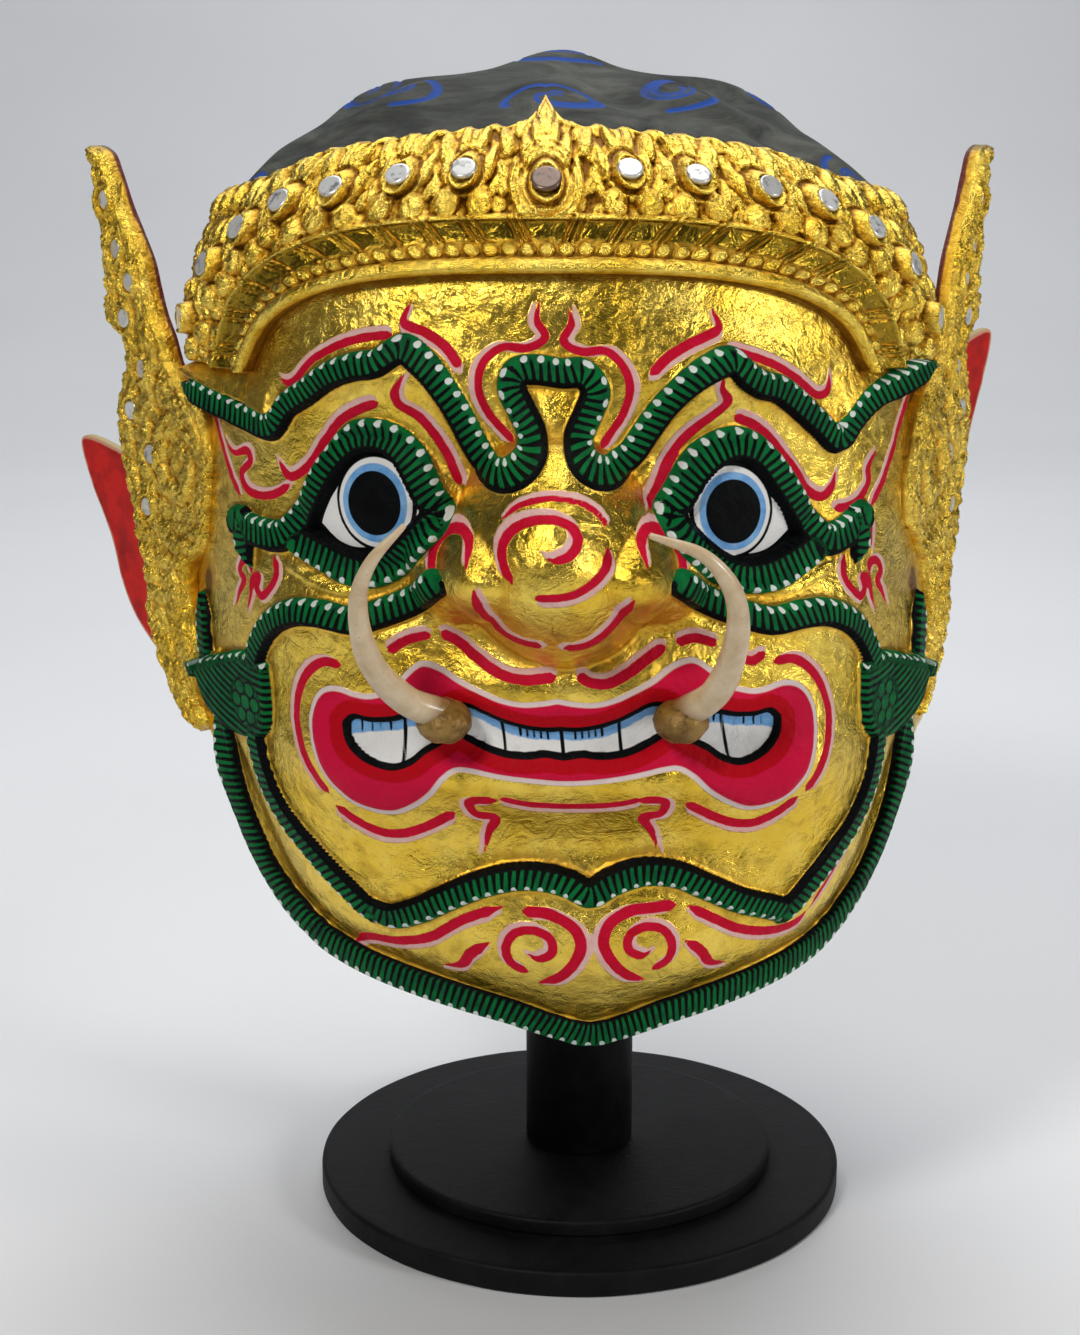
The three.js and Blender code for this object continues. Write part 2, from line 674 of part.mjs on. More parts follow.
function socketSolid(side, keepOut) {
  const lump = new THREE.SphereGeometry(SOCKET_RADIUS, 10, 6);
  lump.scale(1, 1.1, 0.8);
  const [x, y, v] = TUSK_ROOT;
  lump.translate(AXIS_X + side * x, y + 1, MASK_LIFT + v - 2);
  return largestPiece(solidFromGeometry(lump).subtract(keepOut).subtract(tuskSolid(side, GAP)));
}

// Stand

function turned(profile, segments) {
  const points = profile.map(([r, z]) => new THREE.Vector2(r, z));
  return new THREE.LatheGeometry(points, segments).rotateX(Math.PI / 2);
}

function discGeometry(radius, from, to) {
  return turned([
    [0, from], [radius, from], [radius, to - EDGE_ROUND], [radius - EDGE_ROUND, to], [0, to],
  ], 36);
}

function postSolid() {
  const foot = BASE_THICK + STEP_THICK + 2 * GAP;
  const top = MASK_LIFT + SHOULDER + DOME_RISE;
  const post = turned([[0, foot], [POST_RADIUS, foot], [POST_RADIUS, top], [0, top]], 24);
  return solidFromGeometry(post).intersect(hollowSolid(WALL + 2 * GAP));
}

// Finishes

const gold = { color: '#d9a531', roughness: 0.3, metalness: 0.9 };
const mirror = { color: '#d8dadd', roughness: 0.08, metalness: 1 };
const redLeather = { color: '#c3231d', roughness: 0.55, metalness: 0 };
const ivory = { color: '#e8dcc0', roughness: 0.4, metalness: 0 };
const lacquer = { color: '#9a6a26', roughness: 0.45, metalness: 0.2 };
const blackWood = { color: '#17181a', roughness: 0.6, metalness: 0 };

const mask = new THREE.Group();

function place(name, geometry, finish) {
  const mesh = new THREE.Mesh(geometry, new THREE.MeshStandardMaterial(finish));
  mesh.name = name;
  mask.add(mesh);
}

const shell = maskShell();
const crown = crownBand();
const keepOut = clearanceSolid().add(shell).add(crown);

place('stand_base', discGeometry(BASE_RADIUS, 0, BASE_THICK), blackWood);
place('stand_step', discGeometry(STEP_RADIUS, BASE_THICK + GAP, BASE_THICK + GAP + STEP_THICK), blackWood);
place('stand_post', geometryFrom(postSolid()), blackWood);
place('mask_shell', geometryFrom(shell), gold);
place('crown_band', geometryFrom(crown), gold);
crownSeats.forEach((seat, i) => {
  const disc = pegGeometry(seat.u, seat.v, seat.radius, GAP, GAP + MIRROR_THICK, seat.out);
  place(`crown_mirror_${i + 1}`, disc, mirror);
});
EAR_SIDES.forEach((ear) => {
  place(`ear_flame_${ear.name}`, geometryFrom(earFlame(ear, keepOut)), gold);
  place(`ear_wing_${ear.name}`, geometryFrom(earWing(ear, keepOut)), redLeather);
  const matrix = plateMatrix(ear.side, EAR_ROOT_X, EAR_ROOT_Y, ear.turn);
  EAR_MIRRORS.forEach((spot, i) => {
    const disc = platePeg(spot, EAR_MIRROR_RADIUS, GAP, GAP + MIRROR_THICK, matrix, ear.side);
    place(`ear_mirror_${ear.name}_${i + 1}`, disc, mirror);
  });
  place(`tusk_${ear.name}`, geometryFrom(tuskSolid(ear.side, 0)), ivory);
  place(`tusk_socket_${ear.name}`, geometryFrom(socketSolid(ear.side, keepOut)), lacquer);
});

export default mask;
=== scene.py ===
"""Dresses a Thai khon mask of a demon: gold leaf, paint and fine relief, crown, ears, tusks and stand."""

import math

import bpy
import numpy as np
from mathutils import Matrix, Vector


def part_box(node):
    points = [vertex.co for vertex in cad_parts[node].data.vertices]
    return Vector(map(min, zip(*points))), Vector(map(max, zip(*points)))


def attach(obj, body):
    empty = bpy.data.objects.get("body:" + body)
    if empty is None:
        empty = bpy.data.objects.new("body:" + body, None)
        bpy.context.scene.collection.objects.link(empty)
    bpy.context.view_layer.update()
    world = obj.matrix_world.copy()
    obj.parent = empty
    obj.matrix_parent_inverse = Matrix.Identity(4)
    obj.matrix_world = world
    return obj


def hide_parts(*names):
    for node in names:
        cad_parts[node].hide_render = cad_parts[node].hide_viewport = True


bl_info = {
    "name": "Khon mask finish",
    "version": (1, 0, 0),
    "blender": (4, 5, 0),
    "location": "3D View > Sidebar > Mask",
    "description": "Gold leaf, painted bands, crown, ears, hair, tusks, mirrors and stand of a khon mask",
    "category": "Add Mesh",
}

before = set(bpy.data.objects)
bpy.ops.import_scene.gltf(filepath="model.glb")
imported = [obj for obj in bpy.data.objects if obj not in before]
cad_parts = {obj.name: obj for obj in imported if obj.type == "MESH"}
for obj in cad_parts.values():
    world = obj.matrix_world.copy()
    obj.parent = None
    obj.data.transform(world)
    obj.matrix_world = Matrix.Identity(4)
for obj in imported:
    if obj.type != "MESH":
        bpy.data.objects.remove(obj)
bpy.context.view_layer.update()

# Sizes in millimetres, as in the mask's drawing
MM = 0.001
MASK_LIFT = 80.0
AXIS_X = -7.0
WALL = 4.5
SHOULDER = 208.0
DOME_RISE = 73.0
DOME_POWER = 2.1
SECTION_POWER = 2.25
CHART_RADIUS = 115.0
HALF_TURN = math.pi * CHART_RADIUS
BAND_RISE = 2.6
BAND_HALF = 3.85
LID_HALF = 4.5
TAIL_HALF = 4.3
RIM_HALF = 4.6
GAP = 0.35
CROWN_FOOT = 198.0
CROWN_SIDE = 150.0
ARCH_FOOT = 182.0
ARCH_HALF = 94.5
ARCH_RISE = 45.5
ARCH_POWER = 2.8
SKIN_TOP = 232.0  # the gilded face ends here, behind the crown, and the hair begins
FAR = 99.0  # stands for a place out of a line's reach

# Stand
BASE_RADIUS = 86.0
BASE_THICK = 8.0
STEP_RADIUS = 63.5
STEP_THICK = 5.0
POST_RADIUS = 17.5

# Camera, fitted to the photograph's frame
FRAME_HIGH_PX = 1335
FOCAL_PX = 2437
SENSOR = 36.0
CAMERA_PLACE = (-0.013, -0.750, 0.3634)
CAMERA_DIP = 14.19


def through(stations):
    """A monotone cubic through stations; an inner slope is the harmonic mean of its neighbours' slopes."""
    xs, ys = np.array(stations, float).T
    slope = np.diff(ys) / np.diff(xs)
    tangent = np.concatenate([slope[:1], np.zeros(len(xs) - 2), slope[-1:]])
    before, after = slope[:-1], slope[1:]
    rising = before * after > 0
    tangent[1:-1][rising] = 2 * (before * after)[rising] / (before + after)[rising]

    def at(x):
        x = np.clip(np.asarray(x, float), xs[0], xs[-1])
        i = np.clip(np.searchsorted(xs, x, side="right") - 1, 0, len(xs) - 2)
        width = xs[i + 1] - xs[i]
        t = (x - xs[i]) / width
        rise = ys[i + 1] - ys[i]
        a, b = tangent[i] * width, tangent[i + 1] * width
        return ys[i] + t * (a + t * (3 * rise - 2 * a - b + t * (a + b - 2 * rise)))

    return at


half_width = through([
    [0, 80], [20, 91], [60, 108], [85, 113], [115, 114], [150, 112], [182, 110], [208, 107],
])
front_depth = through([[0, 92], [20, 106], [40, 112], [85, 117], [115, 118], [182, 116], [208, 113]])
back_depth = through([[0, 70], [40, 80], [72, 93], [115, 109], [150, 116], [182, 117], [208, 114]])
rim_height = through([
    [0, 6], [10, 8.5], [23, 14], [38, 18], [55, 21.5], [70, 24.5], [84, 28.5], [95, 36.5], [103, 46],
    [109, 58], [113, 69], [119, 80], [130, 88], [170, 84], [HALF_TURN, 72],
])
crown_top = through([
    [0, 272], [4, 268], [8, 265.5], [22, 264.4], [48, 262.3], [82, 258], [110, 250], [150, 245],
    [HALF_TURN, 236],
])


def bell(u, v, cu, cv, ru, rv):
    """A bell over the chart: e to the minus squared distance in units of its two radii."""
    return np.exp(-(((u - cu) / ru) ** 2) - ((v - cv) / rv) ** 2)


def mound(u, v, cu, cv, ru, rv, power):
    """A mound with an edge: one minus the squared distance in its radii, held above zero, to a power."""
    return np.clip(1 - ((u - cu) / ru) ** 2 - ((v - cv) / rv) ** 2, 0, None) ** power


def smooth(x):
    """A soft step from 0 to 1: three x squared minus two x cubed, with x held between 0 and 1."""
    x = np.clip(x, 0, 1)
    return x * x * (3 - 2 * x)


def peak(x):
    """A bell of one variable: e to the minus x squared."""
    return np.exp(-(x**2))


def half_round(x):
    """A half-round moulding at x half widths from its middle: the root of one minus x squared."""
    return np.sqrt(np.clip(1 - x**2, 0, 1))


def face_form(u, v):
    """The modelled face, as mounds and bells: nose, nostrils, bridge, cheeks, eyes, brow, lips, chin."""
    a = np.abs(u)
    out = 26 * mound(u, v, 0, 156, 27, 31, 0.9) + 8 * bell(u, v, 0, 152, 18, 22)
    out += 13 * mound(a, v, 25, 151, 14, 15, 0.9) + 3 * bell(a, v, 27, 148, 14, 13)
    out += 6 * bell(u, v, 0, 182, 11, 14)
    out += 5 * bell(a, v, 62, 134, 26, 12) + 4 * bell(a, v, 70, 86, 20, 30)
    out += 7 * mound(a, v, 48, 167, 24, 17, 0.8) - 5 * bell(a, v, 47, 167, 26, 19)
    out += 5 * bell(a, v, 42, 201, 26, 9)
    out += 8 * bell(u, v, 0, 118, 58, 11) + 8 * bell(u, v, 0, 93, 58, 10) + 5 * bell(a, v, 58, 100, 14, 15)
    out += 7 * bell(u, v, 0, 42, 42, 18) - 3 * bell(u, v, 0, 71, 45, 8)
    return out


def dome_scale(v):
    """How far the dome has drawn in: (1 - t^p)^(1/p), t running from 0 at the shoulder to 1 at the top."""
    t = np.clip((v - SHOULDER) / DOME_RISE, 0, 1)
    return (1 - t**DOME_POWER) ** (1 / DOME_POWER)


def head_point(u, v, out=0.0):
    """A place on the head in mm: a superellipse section of radius r(u, v) plus out, drifting with height.

    The angle is u over the chart's radius. The drift, a tanh of the height, fades to the sides and the top.
    """
    u, v, out = np.broadcast_arrays(np.asarray(u, float), np.asarray(v, float), np.asarray(out, float))
    theta = u / CHART_RADIUS
    front = np.clip(np.cos(theta), 0, None)
    wide = half_width(v)
    depth = np.where(np.cos(theta) > 0, front_depth(v), back_depth(v))
    section = (np.abs(np.sin(theta)) / wide) ** SECTION_POWER
    section += (np.abs(np.cos(theta)) / depth) ** SECTION_POWER
    radius = dome_scale(v) * section ** (-1 / SECTION_POWER) + out
    x = radius * np.sin(theta)
    side = np.clip((x / (wide + 8)) ** 2, 0, 1)
    soft = smooth((np.cos(theta) + 0.3) / 0.9)
    high = smooth((v - 232) / 25)
    drift = (2 - 6.5 * np.tanh((v - 115) / 60)) * (1 - side) * (np.sqrt(front) * (1 - high) + soft * high)
    drift = drift * smooth(radius / 30)
    return np.stack([AXIS_X + x + drift, -radius * np.cos(theta), MASK_LIFT + v], -1)


def head_normal(u, v, out=0.0):
    """Outward unit normal of the head: the cross product of its small steps sideways and upward."""
    across = head_point(u + 1, v, out) - head_point(u - 1, v, out)
    upward = head_point(u, v + 1, out) - head_point(u, v - 1, out)
    normal = np.cross(across, upward)
    return normal / np.linalg.norm(normal, axis=-1, keepdims=True)


def folded(u):
    """Chart distance from the front's middle, the shorter way round the head."""
    a = np.abs(u)
    return np.where(a > HALF_TURN, 2 * HALF_TURN - a, a)


def unrolled(u):
    """A chart place past the middle of the back, counted from the other side of the head."""
    return np.where(u > HALF_TURN, u - 2 * HALF_TURN, u)


def dome_direction(theta, phi):
    """Unit direction on the dome, from a turn from the front and a lift above the shoulder."""
    theta, phi = np.broadcast_arrays(theta, phi)
    return np.stack([np.sin(theta) * np.cos(phi), -np.cos(theta) * np.cos(phi), np.sin(phi)], -1)


def curve(points, step=1.0, closed=False):
    """A centripetal Catmull-Rom line through points, resampled to even steps of its own length."""
    p = np.asarray(points, float)
    if closed:
        p = np.concatenate([p, p[:1]])
    t = np.concatenate([[0], np.cumsum(np.sqrt(np.linalg.norm(np.diff(p, axis=0), axis=1)))])
    slope = np.diff(p, axis=0) / np.diff(t)[:, None]
    tangent = np.concatenate([slope[:1], slope[1:] + slope[:-1], slope[-1:]])
    tangent[1:-1] -= (p[2:] - p[:-2]) / (t[2:] - t[:-2])[:, None]
    at = np.linspace(0, t[-1], 14 * len(p))
    i = np.clip(np.searchsorted(t, at, side="right") - 1, 0, len(p) - 2)
    width = (t[i + 1] - t[i])[:, None]
    q = ((at - t[i]) / (t[i + 1] - t[i]))[:, None]
    rise = p[i + 1] - p[i]
    a, b = tangent[i] * width, tangent[i + 1] * width
    dense = p[i] + q * (a + q * (3 * rise - 2 * a - b + q * (a + b - 2 * rise)))
    length = np.concatenate([[0], np.cumsum(np.linalg.norm(np.diff(dense, axis=0), axis=1))])
    even = np.linspace(0, length[-1], max(3, int(length[-1] / step) + 1))
    if closed:
        even = even[:-1]
    return np.stack([np.interp(even, length, dense[:, k]) for k in range(p.shape[1])], -1)


def nearest(u, v, line, reach=9.0):
    """Distance to a line, length along it and signed side of it (left positive), for places in reach."""
    distance = np.full(u.shape, FAR)
    along = np.zeros(u.shape)
    side = np.zeros(u.shape)
    low, high = line.min(0) - reach, line.max(0) + reach
    near = (u > low[0]) & (u < high[0]) & (v > low[1]) & (v < high[1])
    if not near.any():
        return distance, along, side
    place = np.stack([u[near], v[near]], -1)[:, None]
    start, step = line[:-1], np.diff(line, axis=0)
    size = np.linalg.norm(step, axis=1)
    share = np.clip(((place - start) * step).sum(-1) / size**2, 0, 1)
    offset = place - start - share[..., None] * step
    apart = np.linalg.norm(offset, axis=-1)
    k = apart.argmin(1)
    row = np.arange(len(k))
    before = np.concatenate([[0], np.cumsum(size)])
    cross = step[k, 0] * offset[row, k, 1] - step[k, 1] * offset[row, k, 0]
    distance[near] = apart[row, k]
    along[near] = before[k] + share[row, k] * size[k]
    side[near] = np.sign(cross) * apart[row, k]
    return distance, along, side


def crossings(loop, y):
    """Which edges of a closed loop pass the heights y, and how far along they do."""
    a, b = loop, np.roll(loop, -1, axis=0)
    spans = (a[:, 1] > y) != (b[:, 1] > y)
    rise = np.where(b[:, 1] == a[:, 1], 1, b[:, 1] - a[:, 1])
    return spans, a[:, 0] + (y - a[:, 1]) * (b[:, 0] - a[:, 0]) / rise


def inside(u, v, loop):
    """Whether places lie in a closed loop: an odd number of its edges passes to their right."""
    found = np.zeros(u.shape, bool)
    low, high = loop.min(0), loop.max(0)
    near = (u > low[0]) & (u < high[0]) & (v > low[1]) & (v < high[1])
    spans, crossing = crossings(loop, v[near][:, None])
    found[near] = (spans & (u[near][:, None] < crossing)).sum(1) % 2 == 1
    return found


def region(u, v, loop, reach=9.0):
    """Signed distance to a closed loop, below zero inside it."""
    distance, _, _ = nearest(u, v, np.concatenate([loop, loop[:1]]), reach)
    return np.where(inside(u, v, loop), -distance, distance)


def mirrored(points):
    """The same chart line on the left half of the face."""
    return [[-u, v] for u, v in points]


def moved(points, du, dv):
    """A chart line moved by a few millimetres."""
    return [[u + du, v + dv] for u, v in points]


# The painted bands, as chart lines in millimetres: u to the viewer's right, v up from the mask's zero.
# The hand-painted face differs a little from side to side, so brows and lids have a line for each side.
BROW_LEFT = [
    [-124, 192.5], [-105, 188], [-92, 185], [-82.5, 184], [-76.5, 190.5], [-68.5, 195], [-60, 200],
    [-52, 202.8], [-45.5, 204], [-38.5, 208], [-33.2, 205], [-29, 200.5], [-25.8, 195.2], [-22.9, 189.5],
    [-20, 183.5], [-16.8, 179], [-12, 177.2], [-7.3, 179.4], [-4.5, 183.5], [-4.8, 188], [-7.2, 193],
    [-9.6, 198.5], [-8.3, 202.2], [-4, 203], [1, 202.4],
]
BROW_RIGHT = [
    [1, 202.4], [4, 202], [9, 202], [12, 197.5], [9.5, 191], [7, 185.5], [8, 180.5], [13, 177.5],
    [20, 180], [25.5, 187], [30.5, 194], [36.5, 200], [42, 203.2], [47, 204.6], [51, 200.6], [56, 197.6],
    [61, 196.2], [66.5, 192.6], [75, 185.7], [81.5, 180.6], [88, 185.5], [95, 190], [106, 193.3],
    [124, 198.5],
]
LID_LEFT = [
    [-99, 156], [-95, 155.2], [-87, 154], [-79, 154.6], [-73.2, 159], [-67.3, 166.5], [-62.6, 174],
    [-58, 180], [-53.2, 183.6], [-47.5, 184.6], [-41.5, 183], [-37, 178.5], [-34.2, 173.5], [-32, 169],
    [-29.6, 165.3], [-33.6, 159.8], [-41.5, 152], [-49, 148.3], [-56.5, 148.5], [-64, 150.9],
    [-72.6, 153.9],
]
LID_RIGHT = [
    [90, 158.6], [87, 157], [82.5, 154.8], [76.5, 153.8], [71.5, 157.5], [64.3, 166.5], [59.6, 174],
    [55, 180], [48.5, 182.4], [42.5, 180.6], [36.8, 176], [32.4, 169.6], [29.8, 165], [33, 158.4],
    [41, 150.6], [48.5, 147], [56, 147], [64, 149.4], [71, 152.4],
]
LID_TAIL_LEFT = [[-95.5, 156.5], [-95, 151], [-91.5, 144.5]]
LID_TAIL_RIGHT = [[87.5, 157.5], [88, 152.5], [85.5, 146.5]]
CHEEK_LINE = [
    [28, 149], [36, 142.5], [45, 138], [54, 135], [63, 135.8], [71, 135.2], [80, 131], [87, 124],
    [91.5, 115], [93, 104], [92, 93], [88.5, 80.5], [82.5, 71.5], [76, 64.5], [69, 57], [62.5, 50.5],
    [59.5, 48.5],
]
CHIN_LINE = [
    [-59.5, 49], [-54.5, 48], [-46.5, 51], [-37, 56.5], [-28, 61], [-19, 63.5], [-10.5, 63.5], [-4.5, 62],
    [1, 59.5], [7, 62.5], [16, 65], [25, 64], [34.5, 59.5], [44.5, 54.5], [53, 51.5], [59.5, 49],
]
RIM_LINE = [
    [0, 11.1], [9.5, 13.6], [22.8, 19.1], [37.8, 23.1], [54.7, 26.6], [69.5, 29.6], [83.3, 33.8],
    [95.2, 42], [103.2, 51.4], [108.2, 62.7], [112.2, 74], [115.7, 86], [118.7, 99], [121.2, 113],
    [123.5, 131],
]
LEAF_OUTLINE = [[84, 118], [96, 119.5], [110, 115.5], [127, 109.5], [115, 98], [100, 93.5], [86, 98]]
ROSETTE_PLACE = (94.5, 105)
ROSETTE_CLEAR = 6.9  # no hatching this near its middle

# Lips, mouth and eyes, right half or whole
LIP_HALF = [
    [0, 116.5], [4, 115.6], [9, 115.2], [14, 116.3], [19, 118.5], [24.5, 121], [30, 124], [35, 124.8],
    [39, 121.8], [43, 117.2], [46.5, 115.6], [50, 114.6], [53.5, 114.8], [58, 115.8], [62.2, 114.9],
    [65.2, 112], [67, 106.6], [66.3, 101.4], [64.3, 95.5], [61.7, 88.7], [58.4, 83.6], [53.5, 81],
    [48, 80.7], [42.3, 83.5], [36.6, 88], [32, 93.3], [28.7, 95.6], [24.8, 95.8], [17.8, 94.8], [9.8, 94],
    [0, 93.4],
]
SIDE_MOUTH = [
    [55.5, 107], [53.8, 108.8], [50, 108.2], [44.7, 108.6], [39.5, 110], [33.7, 108.6], [30, 106],
    [32, 103.6], [37, 100.4], [40.3, 97.5], [44.6, 95.8], [48.6, 96.8], [52.6, 99.8], [54.8, 103.2],
]
MID_MOUTH_HALF = [
    [0, 107.8], [4, 107.6], [8.6, 108.2], [14.9, 110.3], [18.9, 112.4], [23.5, 114.5], [27, 113],
    [28, 108.5], [26, 105.6], [22.4, 103.6], [15.9, 101.2], [9.3, 100.6], [4.5, 101.2], [0, 100.6],
]
TOOTH_GAPS = [0, 15]  # between the teeth of the middle opening; the side openings have one each
SIDE_TOOTH_GAP = 42.0
TOOTH_TICKS = [3.6, 5.4, 7.2, 8.9, 10.5, 37.5, 39.6, 45.2, 47.5, 49.8, 52]
UPPER_TEETH = through([
    [0, 107.8], [8.6, 108.2], [14.9, 110.3], [18.9, 112.4], [23.5, 114.5], [30, 107], [33.7, 108.6],
    [39.5, 110], [44.7, 108.6], [50, 108.2], [55.5, 107],
])
EYE_LOOP = [
    [62.7, 160.5], [57.9, 168.5], [51.2, 176.2], [45, 179], [38.7, 177], [34.2, 172.2], [30.2, 166.6],
    [34.4, 162.3], [39.1, 158.3], [45.6, 155.7], [52.2, 154.9], [57, 156.2],
]
EYE_SHIFT_RIGHT = (1.4, -2.6)  # the right eye sits a little lower than the left
EYE_SHIFT_LEFT = (2.8, -1.0)
IRIS_LEFT = (-47.2, 166.8)
IRIS_RIGHT = (46.5, 164.6)
IRIS_TALL = 1.15
IRIS_RADIUS = 11.6

# Red strokes: chart line of the right half, width, length of its pointed start and end as shares,
# direction of its pale edge, and the right-hand copy: how far it is moved, a line of its own, or
# None for no copy. The left-hand copy is always the mirrored line.
STROKES = [
    # Above the brow: outer arc, flame, and the hook beside the middle
    ([[80, 197.3], [75.6, 196.5], [66.6, 203.6], [58.2, 207.8], [50.3, 210.2], [42.1, 211.2]], 1.9, 0.12,
     0.02, (0.2, 0.9), [[79.8, 198.8], [78.6, 194], [75.3, 193.2], [67, 198.6], [59.6, 202.8],
     [52.5, 205.6], [46.8, 207.2]]),
    ([[37.3, 220], [39.2, 214.6], [33, 212.2], [27, 208.5], [22.9, 203.4]], 2.1, 0.3, 0.05, (-0.2, -0.9),
     [[43.8, 218.5], [45.4, 213], [41, 210.8], [36, 208.8], [30, 205.4], [26, 201.6]]),
    ([[2.2, 220], [2.8, 215.4], [0.6, 211.2], [5.3, 208.4], [12, 208.6], [16.8, 205], [18.3, 198.5],
     [16, 192], [12, 187.4], [9, 184.6]], 1.8, 0.12, 0.03, (1.0, 0.1), [[5.7, 219], [6.3, 214.4],
     [4.1, 210.2], [8.8, 207.4], [15.2, 207.6], [19.3, 203.6], [20.8, 197.5], [18.8, 191], [15.3, 186],
     [12.8, 182.6]]),
    # Between brow and eyelid
    ([[81.3, 175.5], [77.3, 170.9], [71, 173.8], [64.5, 181.4], [58.8, 187.4], [51.6, 191.4],
     [45.7, 193.5]], 2.1, 0.12, 0.03, (0.4, 0.9), [[81.5, 171.8], [79.8, 167.6], [76.2, 165.4],
     [71.8, 167.6], [66.5, 174.5], [61.5, 181], [56.5, 185.8], [49, 189.6]]),
    ([[37.5, 201.2], [40.4, 196.3], [39.9, 193.5], [34.9, 190.2], [30.5, 184.8], [27.3, 179.4],
     [24.1, 172.1]], 2.2, 0.2, 0.05, (-0.9, 0.4), [[44.7, 201], [44.2, 197.6], [46.5, 193.7], [44, 190.9],
     [39.8, 187.8], [35.2, 184], [31, 178.4], [27.4, 171.4], [24.6, 166.4]]),
    ([[124, 189], [116, 182.5], [109, 174.5], [104, 168.5], [98, 162.5]], 1.9, 0.1, 0.1, (-0.6, 0.8),
     [[124, 188.5], [115.5, 182], [108.5, 174.2], [103, 167.5], [95, 160]]),
    ([[108.1, 177.5], [102.1, 174.5], [94.4, 175.9], [93.1, 173.3], [97.7, 169.4], [95.1, 165.5],
     [88, 164.3], [81.7, 165.8], [77, 168.7]], 2.0, 0.3, 0.05, (-0.7, 0.8), [[99.5, 175.5], [95, 171.5],
     [94.5, 167], [91, 163.5], [86.5, 161.8], [80.5, 161.6]]),
    ([[93, 160.5], [95, 155], [93.5, 148]], 1.2, 0.3, 0.3, (0.9, 0), (0, 0)),
    # Temple flames beside the eye's tail
    ([[92, 142], [93, 145], [96.5, 144.9], [98.4, 141.6], [95.6, 139.8], [98, 136], [101, 130.6]], 2.0,
     0.1, 0.4, (0.9, 0.3), (0, 0)),
    ([[82.5, 149], [80.6, 143.4], [83.2, 139], [86.5, 136.8], [88.8, 138.8], [88.4, 141.8], [91, 141],
     [92, 135.4], [94, 131]], 2.0, 0.1, 0.3, (-0.9, -0.2), (0, 0)),
    # Nose wing, and the folds beside the mouth
    ([[26.6, 148.6], [29, 153.1], [28.5, 158.6], [25, 162.4], [20.8, 163.4], [18.6, 161.5],
     [18.4, 155.5]], 2.0, 0.15, 0.25, (0.5, 0.8), (0, 0)),
    ([[31.2, 133.2], [27.2, 131.4], [22.1, 127.2], [16.3, 123.3], [10.5, 122], [2.6, 123]], 2.3, 0.04,
     0.04, (0, 1.0), [[25.5, 129.8], [19.8, 126.4], [14.6, 123.2], [9.4, 121], [5.2, 121.6],
     [2.6, 123.6]]),
    ([[44.6, 127.3], [40, 130.6], [33.9, 132.5]], 2.1, 0.04, 0.04, (0, 1.0), [[38.8, 129.8],
     [33.4, 131.6], [28.7, 130.4]]),
    ([[16.8, 150.8], [16.4, 143.2], [13.6, 136.4], [9.2, 134.2], [4.9, 133.7]], 2.0, 0.2, 0.03,
     (-0.8, 0.4), [[15.2, 148.2], [12.8, 142], [8.8, 136.6], [4.8, 133.8], [0.2, 133.2]]),
    # Round the mouth
    ([[57.6, 122.3], [62.9, 122.6], [68.5, 118.8], [72.4, 112.4], [73.7, 105.3], [71.6, 98.5],
     [67.9, 91.7], [65, 85]], 2.2, 0.03, 0.03, (1.0, 0.3), (-4.4, 1.6)),
    ([[64, 81.2], [60.1, 77.2], [53.9, 73.9], [48.2, 74], [41.8, 76.6], [33.1, 82]], 2.3, 0.05, 0.05,
     (0.3, -1.0), (-5.6, 3.8)),
    ([[20.5, 87.3], [28.3, 86], [27.7, 82.2], [22.6, 81], [25.3, 76], [27.2, 69.8]], 2.1, 0.1, 0.35,
     (0.9, -0.3), (-6.4, 0.6)),
    ([[20, 88], [13.6, 86.5], [5.2, 86], [-3, 86]], 1.7, 0.05, 0.0, (0, -0.9), (-4.5, 0)),
    # Chin scrolls
    ([[72.2, 34.5], [66, 38.2], [54.4, 39.8], [43.5, 43.3], [33.5, 50.2], [22.5, 55.2]], 2.4, 0.1, 0.1,
     (0.2, -1.0), [[69.8, 46], [67.2, 43.6], [61, 42.6], [52, 43.6], [43, 46.4], [35.5, 50.5],
     [27.5, 55.2]]),
    ([[16.3, 35.8], [21, 38.7], [21.9, 43.8], [19.1, 48], [13.8, 48.9], [9.9, 46.6], [9.8, 42.6],
     [13.6, 40.6], [16, 42]], 2.1, 0.05, 0.12, (0.7, 0.7), (1, 1)),
    ([[17.2, 54.2], [10.2, 53.7], [3.6, 49.8], [2, 45.1], [3.8, 39.9], [8.3, 34.5], [13.9, 32.2]], 2.6,
     0.04, 0.12, (-1.0, -0.2), [[24.5, 55.6], [18, 55.2], [11, 54.4], [5.6, 50.8], [4, 46.1], [5.8, 40.9],
     [10.3, 35.5], [15.9, 33.2]]),
    ([[41.6, 34.1], [35.4, 35.6], [31.8, 40.2], [26.4, 44.3]], 2.6, 0.5, 0.25, (0.2, -0.9), (0, 1)),
    # On the nose: the spiral and its two outer curls, once only
    ([[9, 152.6], [10.7, 157.4], [10.7, 161.8], [8.4, 165.8], [4.2, 168.4], [-0.3, 168.8], [-3.7, 166.8],
     [-4.6, 163.4], [-2.8, 160.4], [0.6, 159.2], [1.9, 160.2]], 1.8, 0.05, 0.1, (0.5, 0.9), None),
    ([[11.2, 167.4], [7.3, 171.3], [1.1, 173.6], [-5, 172.6], [-8.7, 170], [-11.6, 165.8]], 1.1, 0.2,
     0.05, (-0.2, 0.7), None),
    ([[-10.7, 161.6], [-10, 156.8], [-6.6, 152.8], [-2.4, 150.3], [4.5, 149.3]], 1.8, 0.15, 0.04,
     (-0.3, -0.9), None),
]
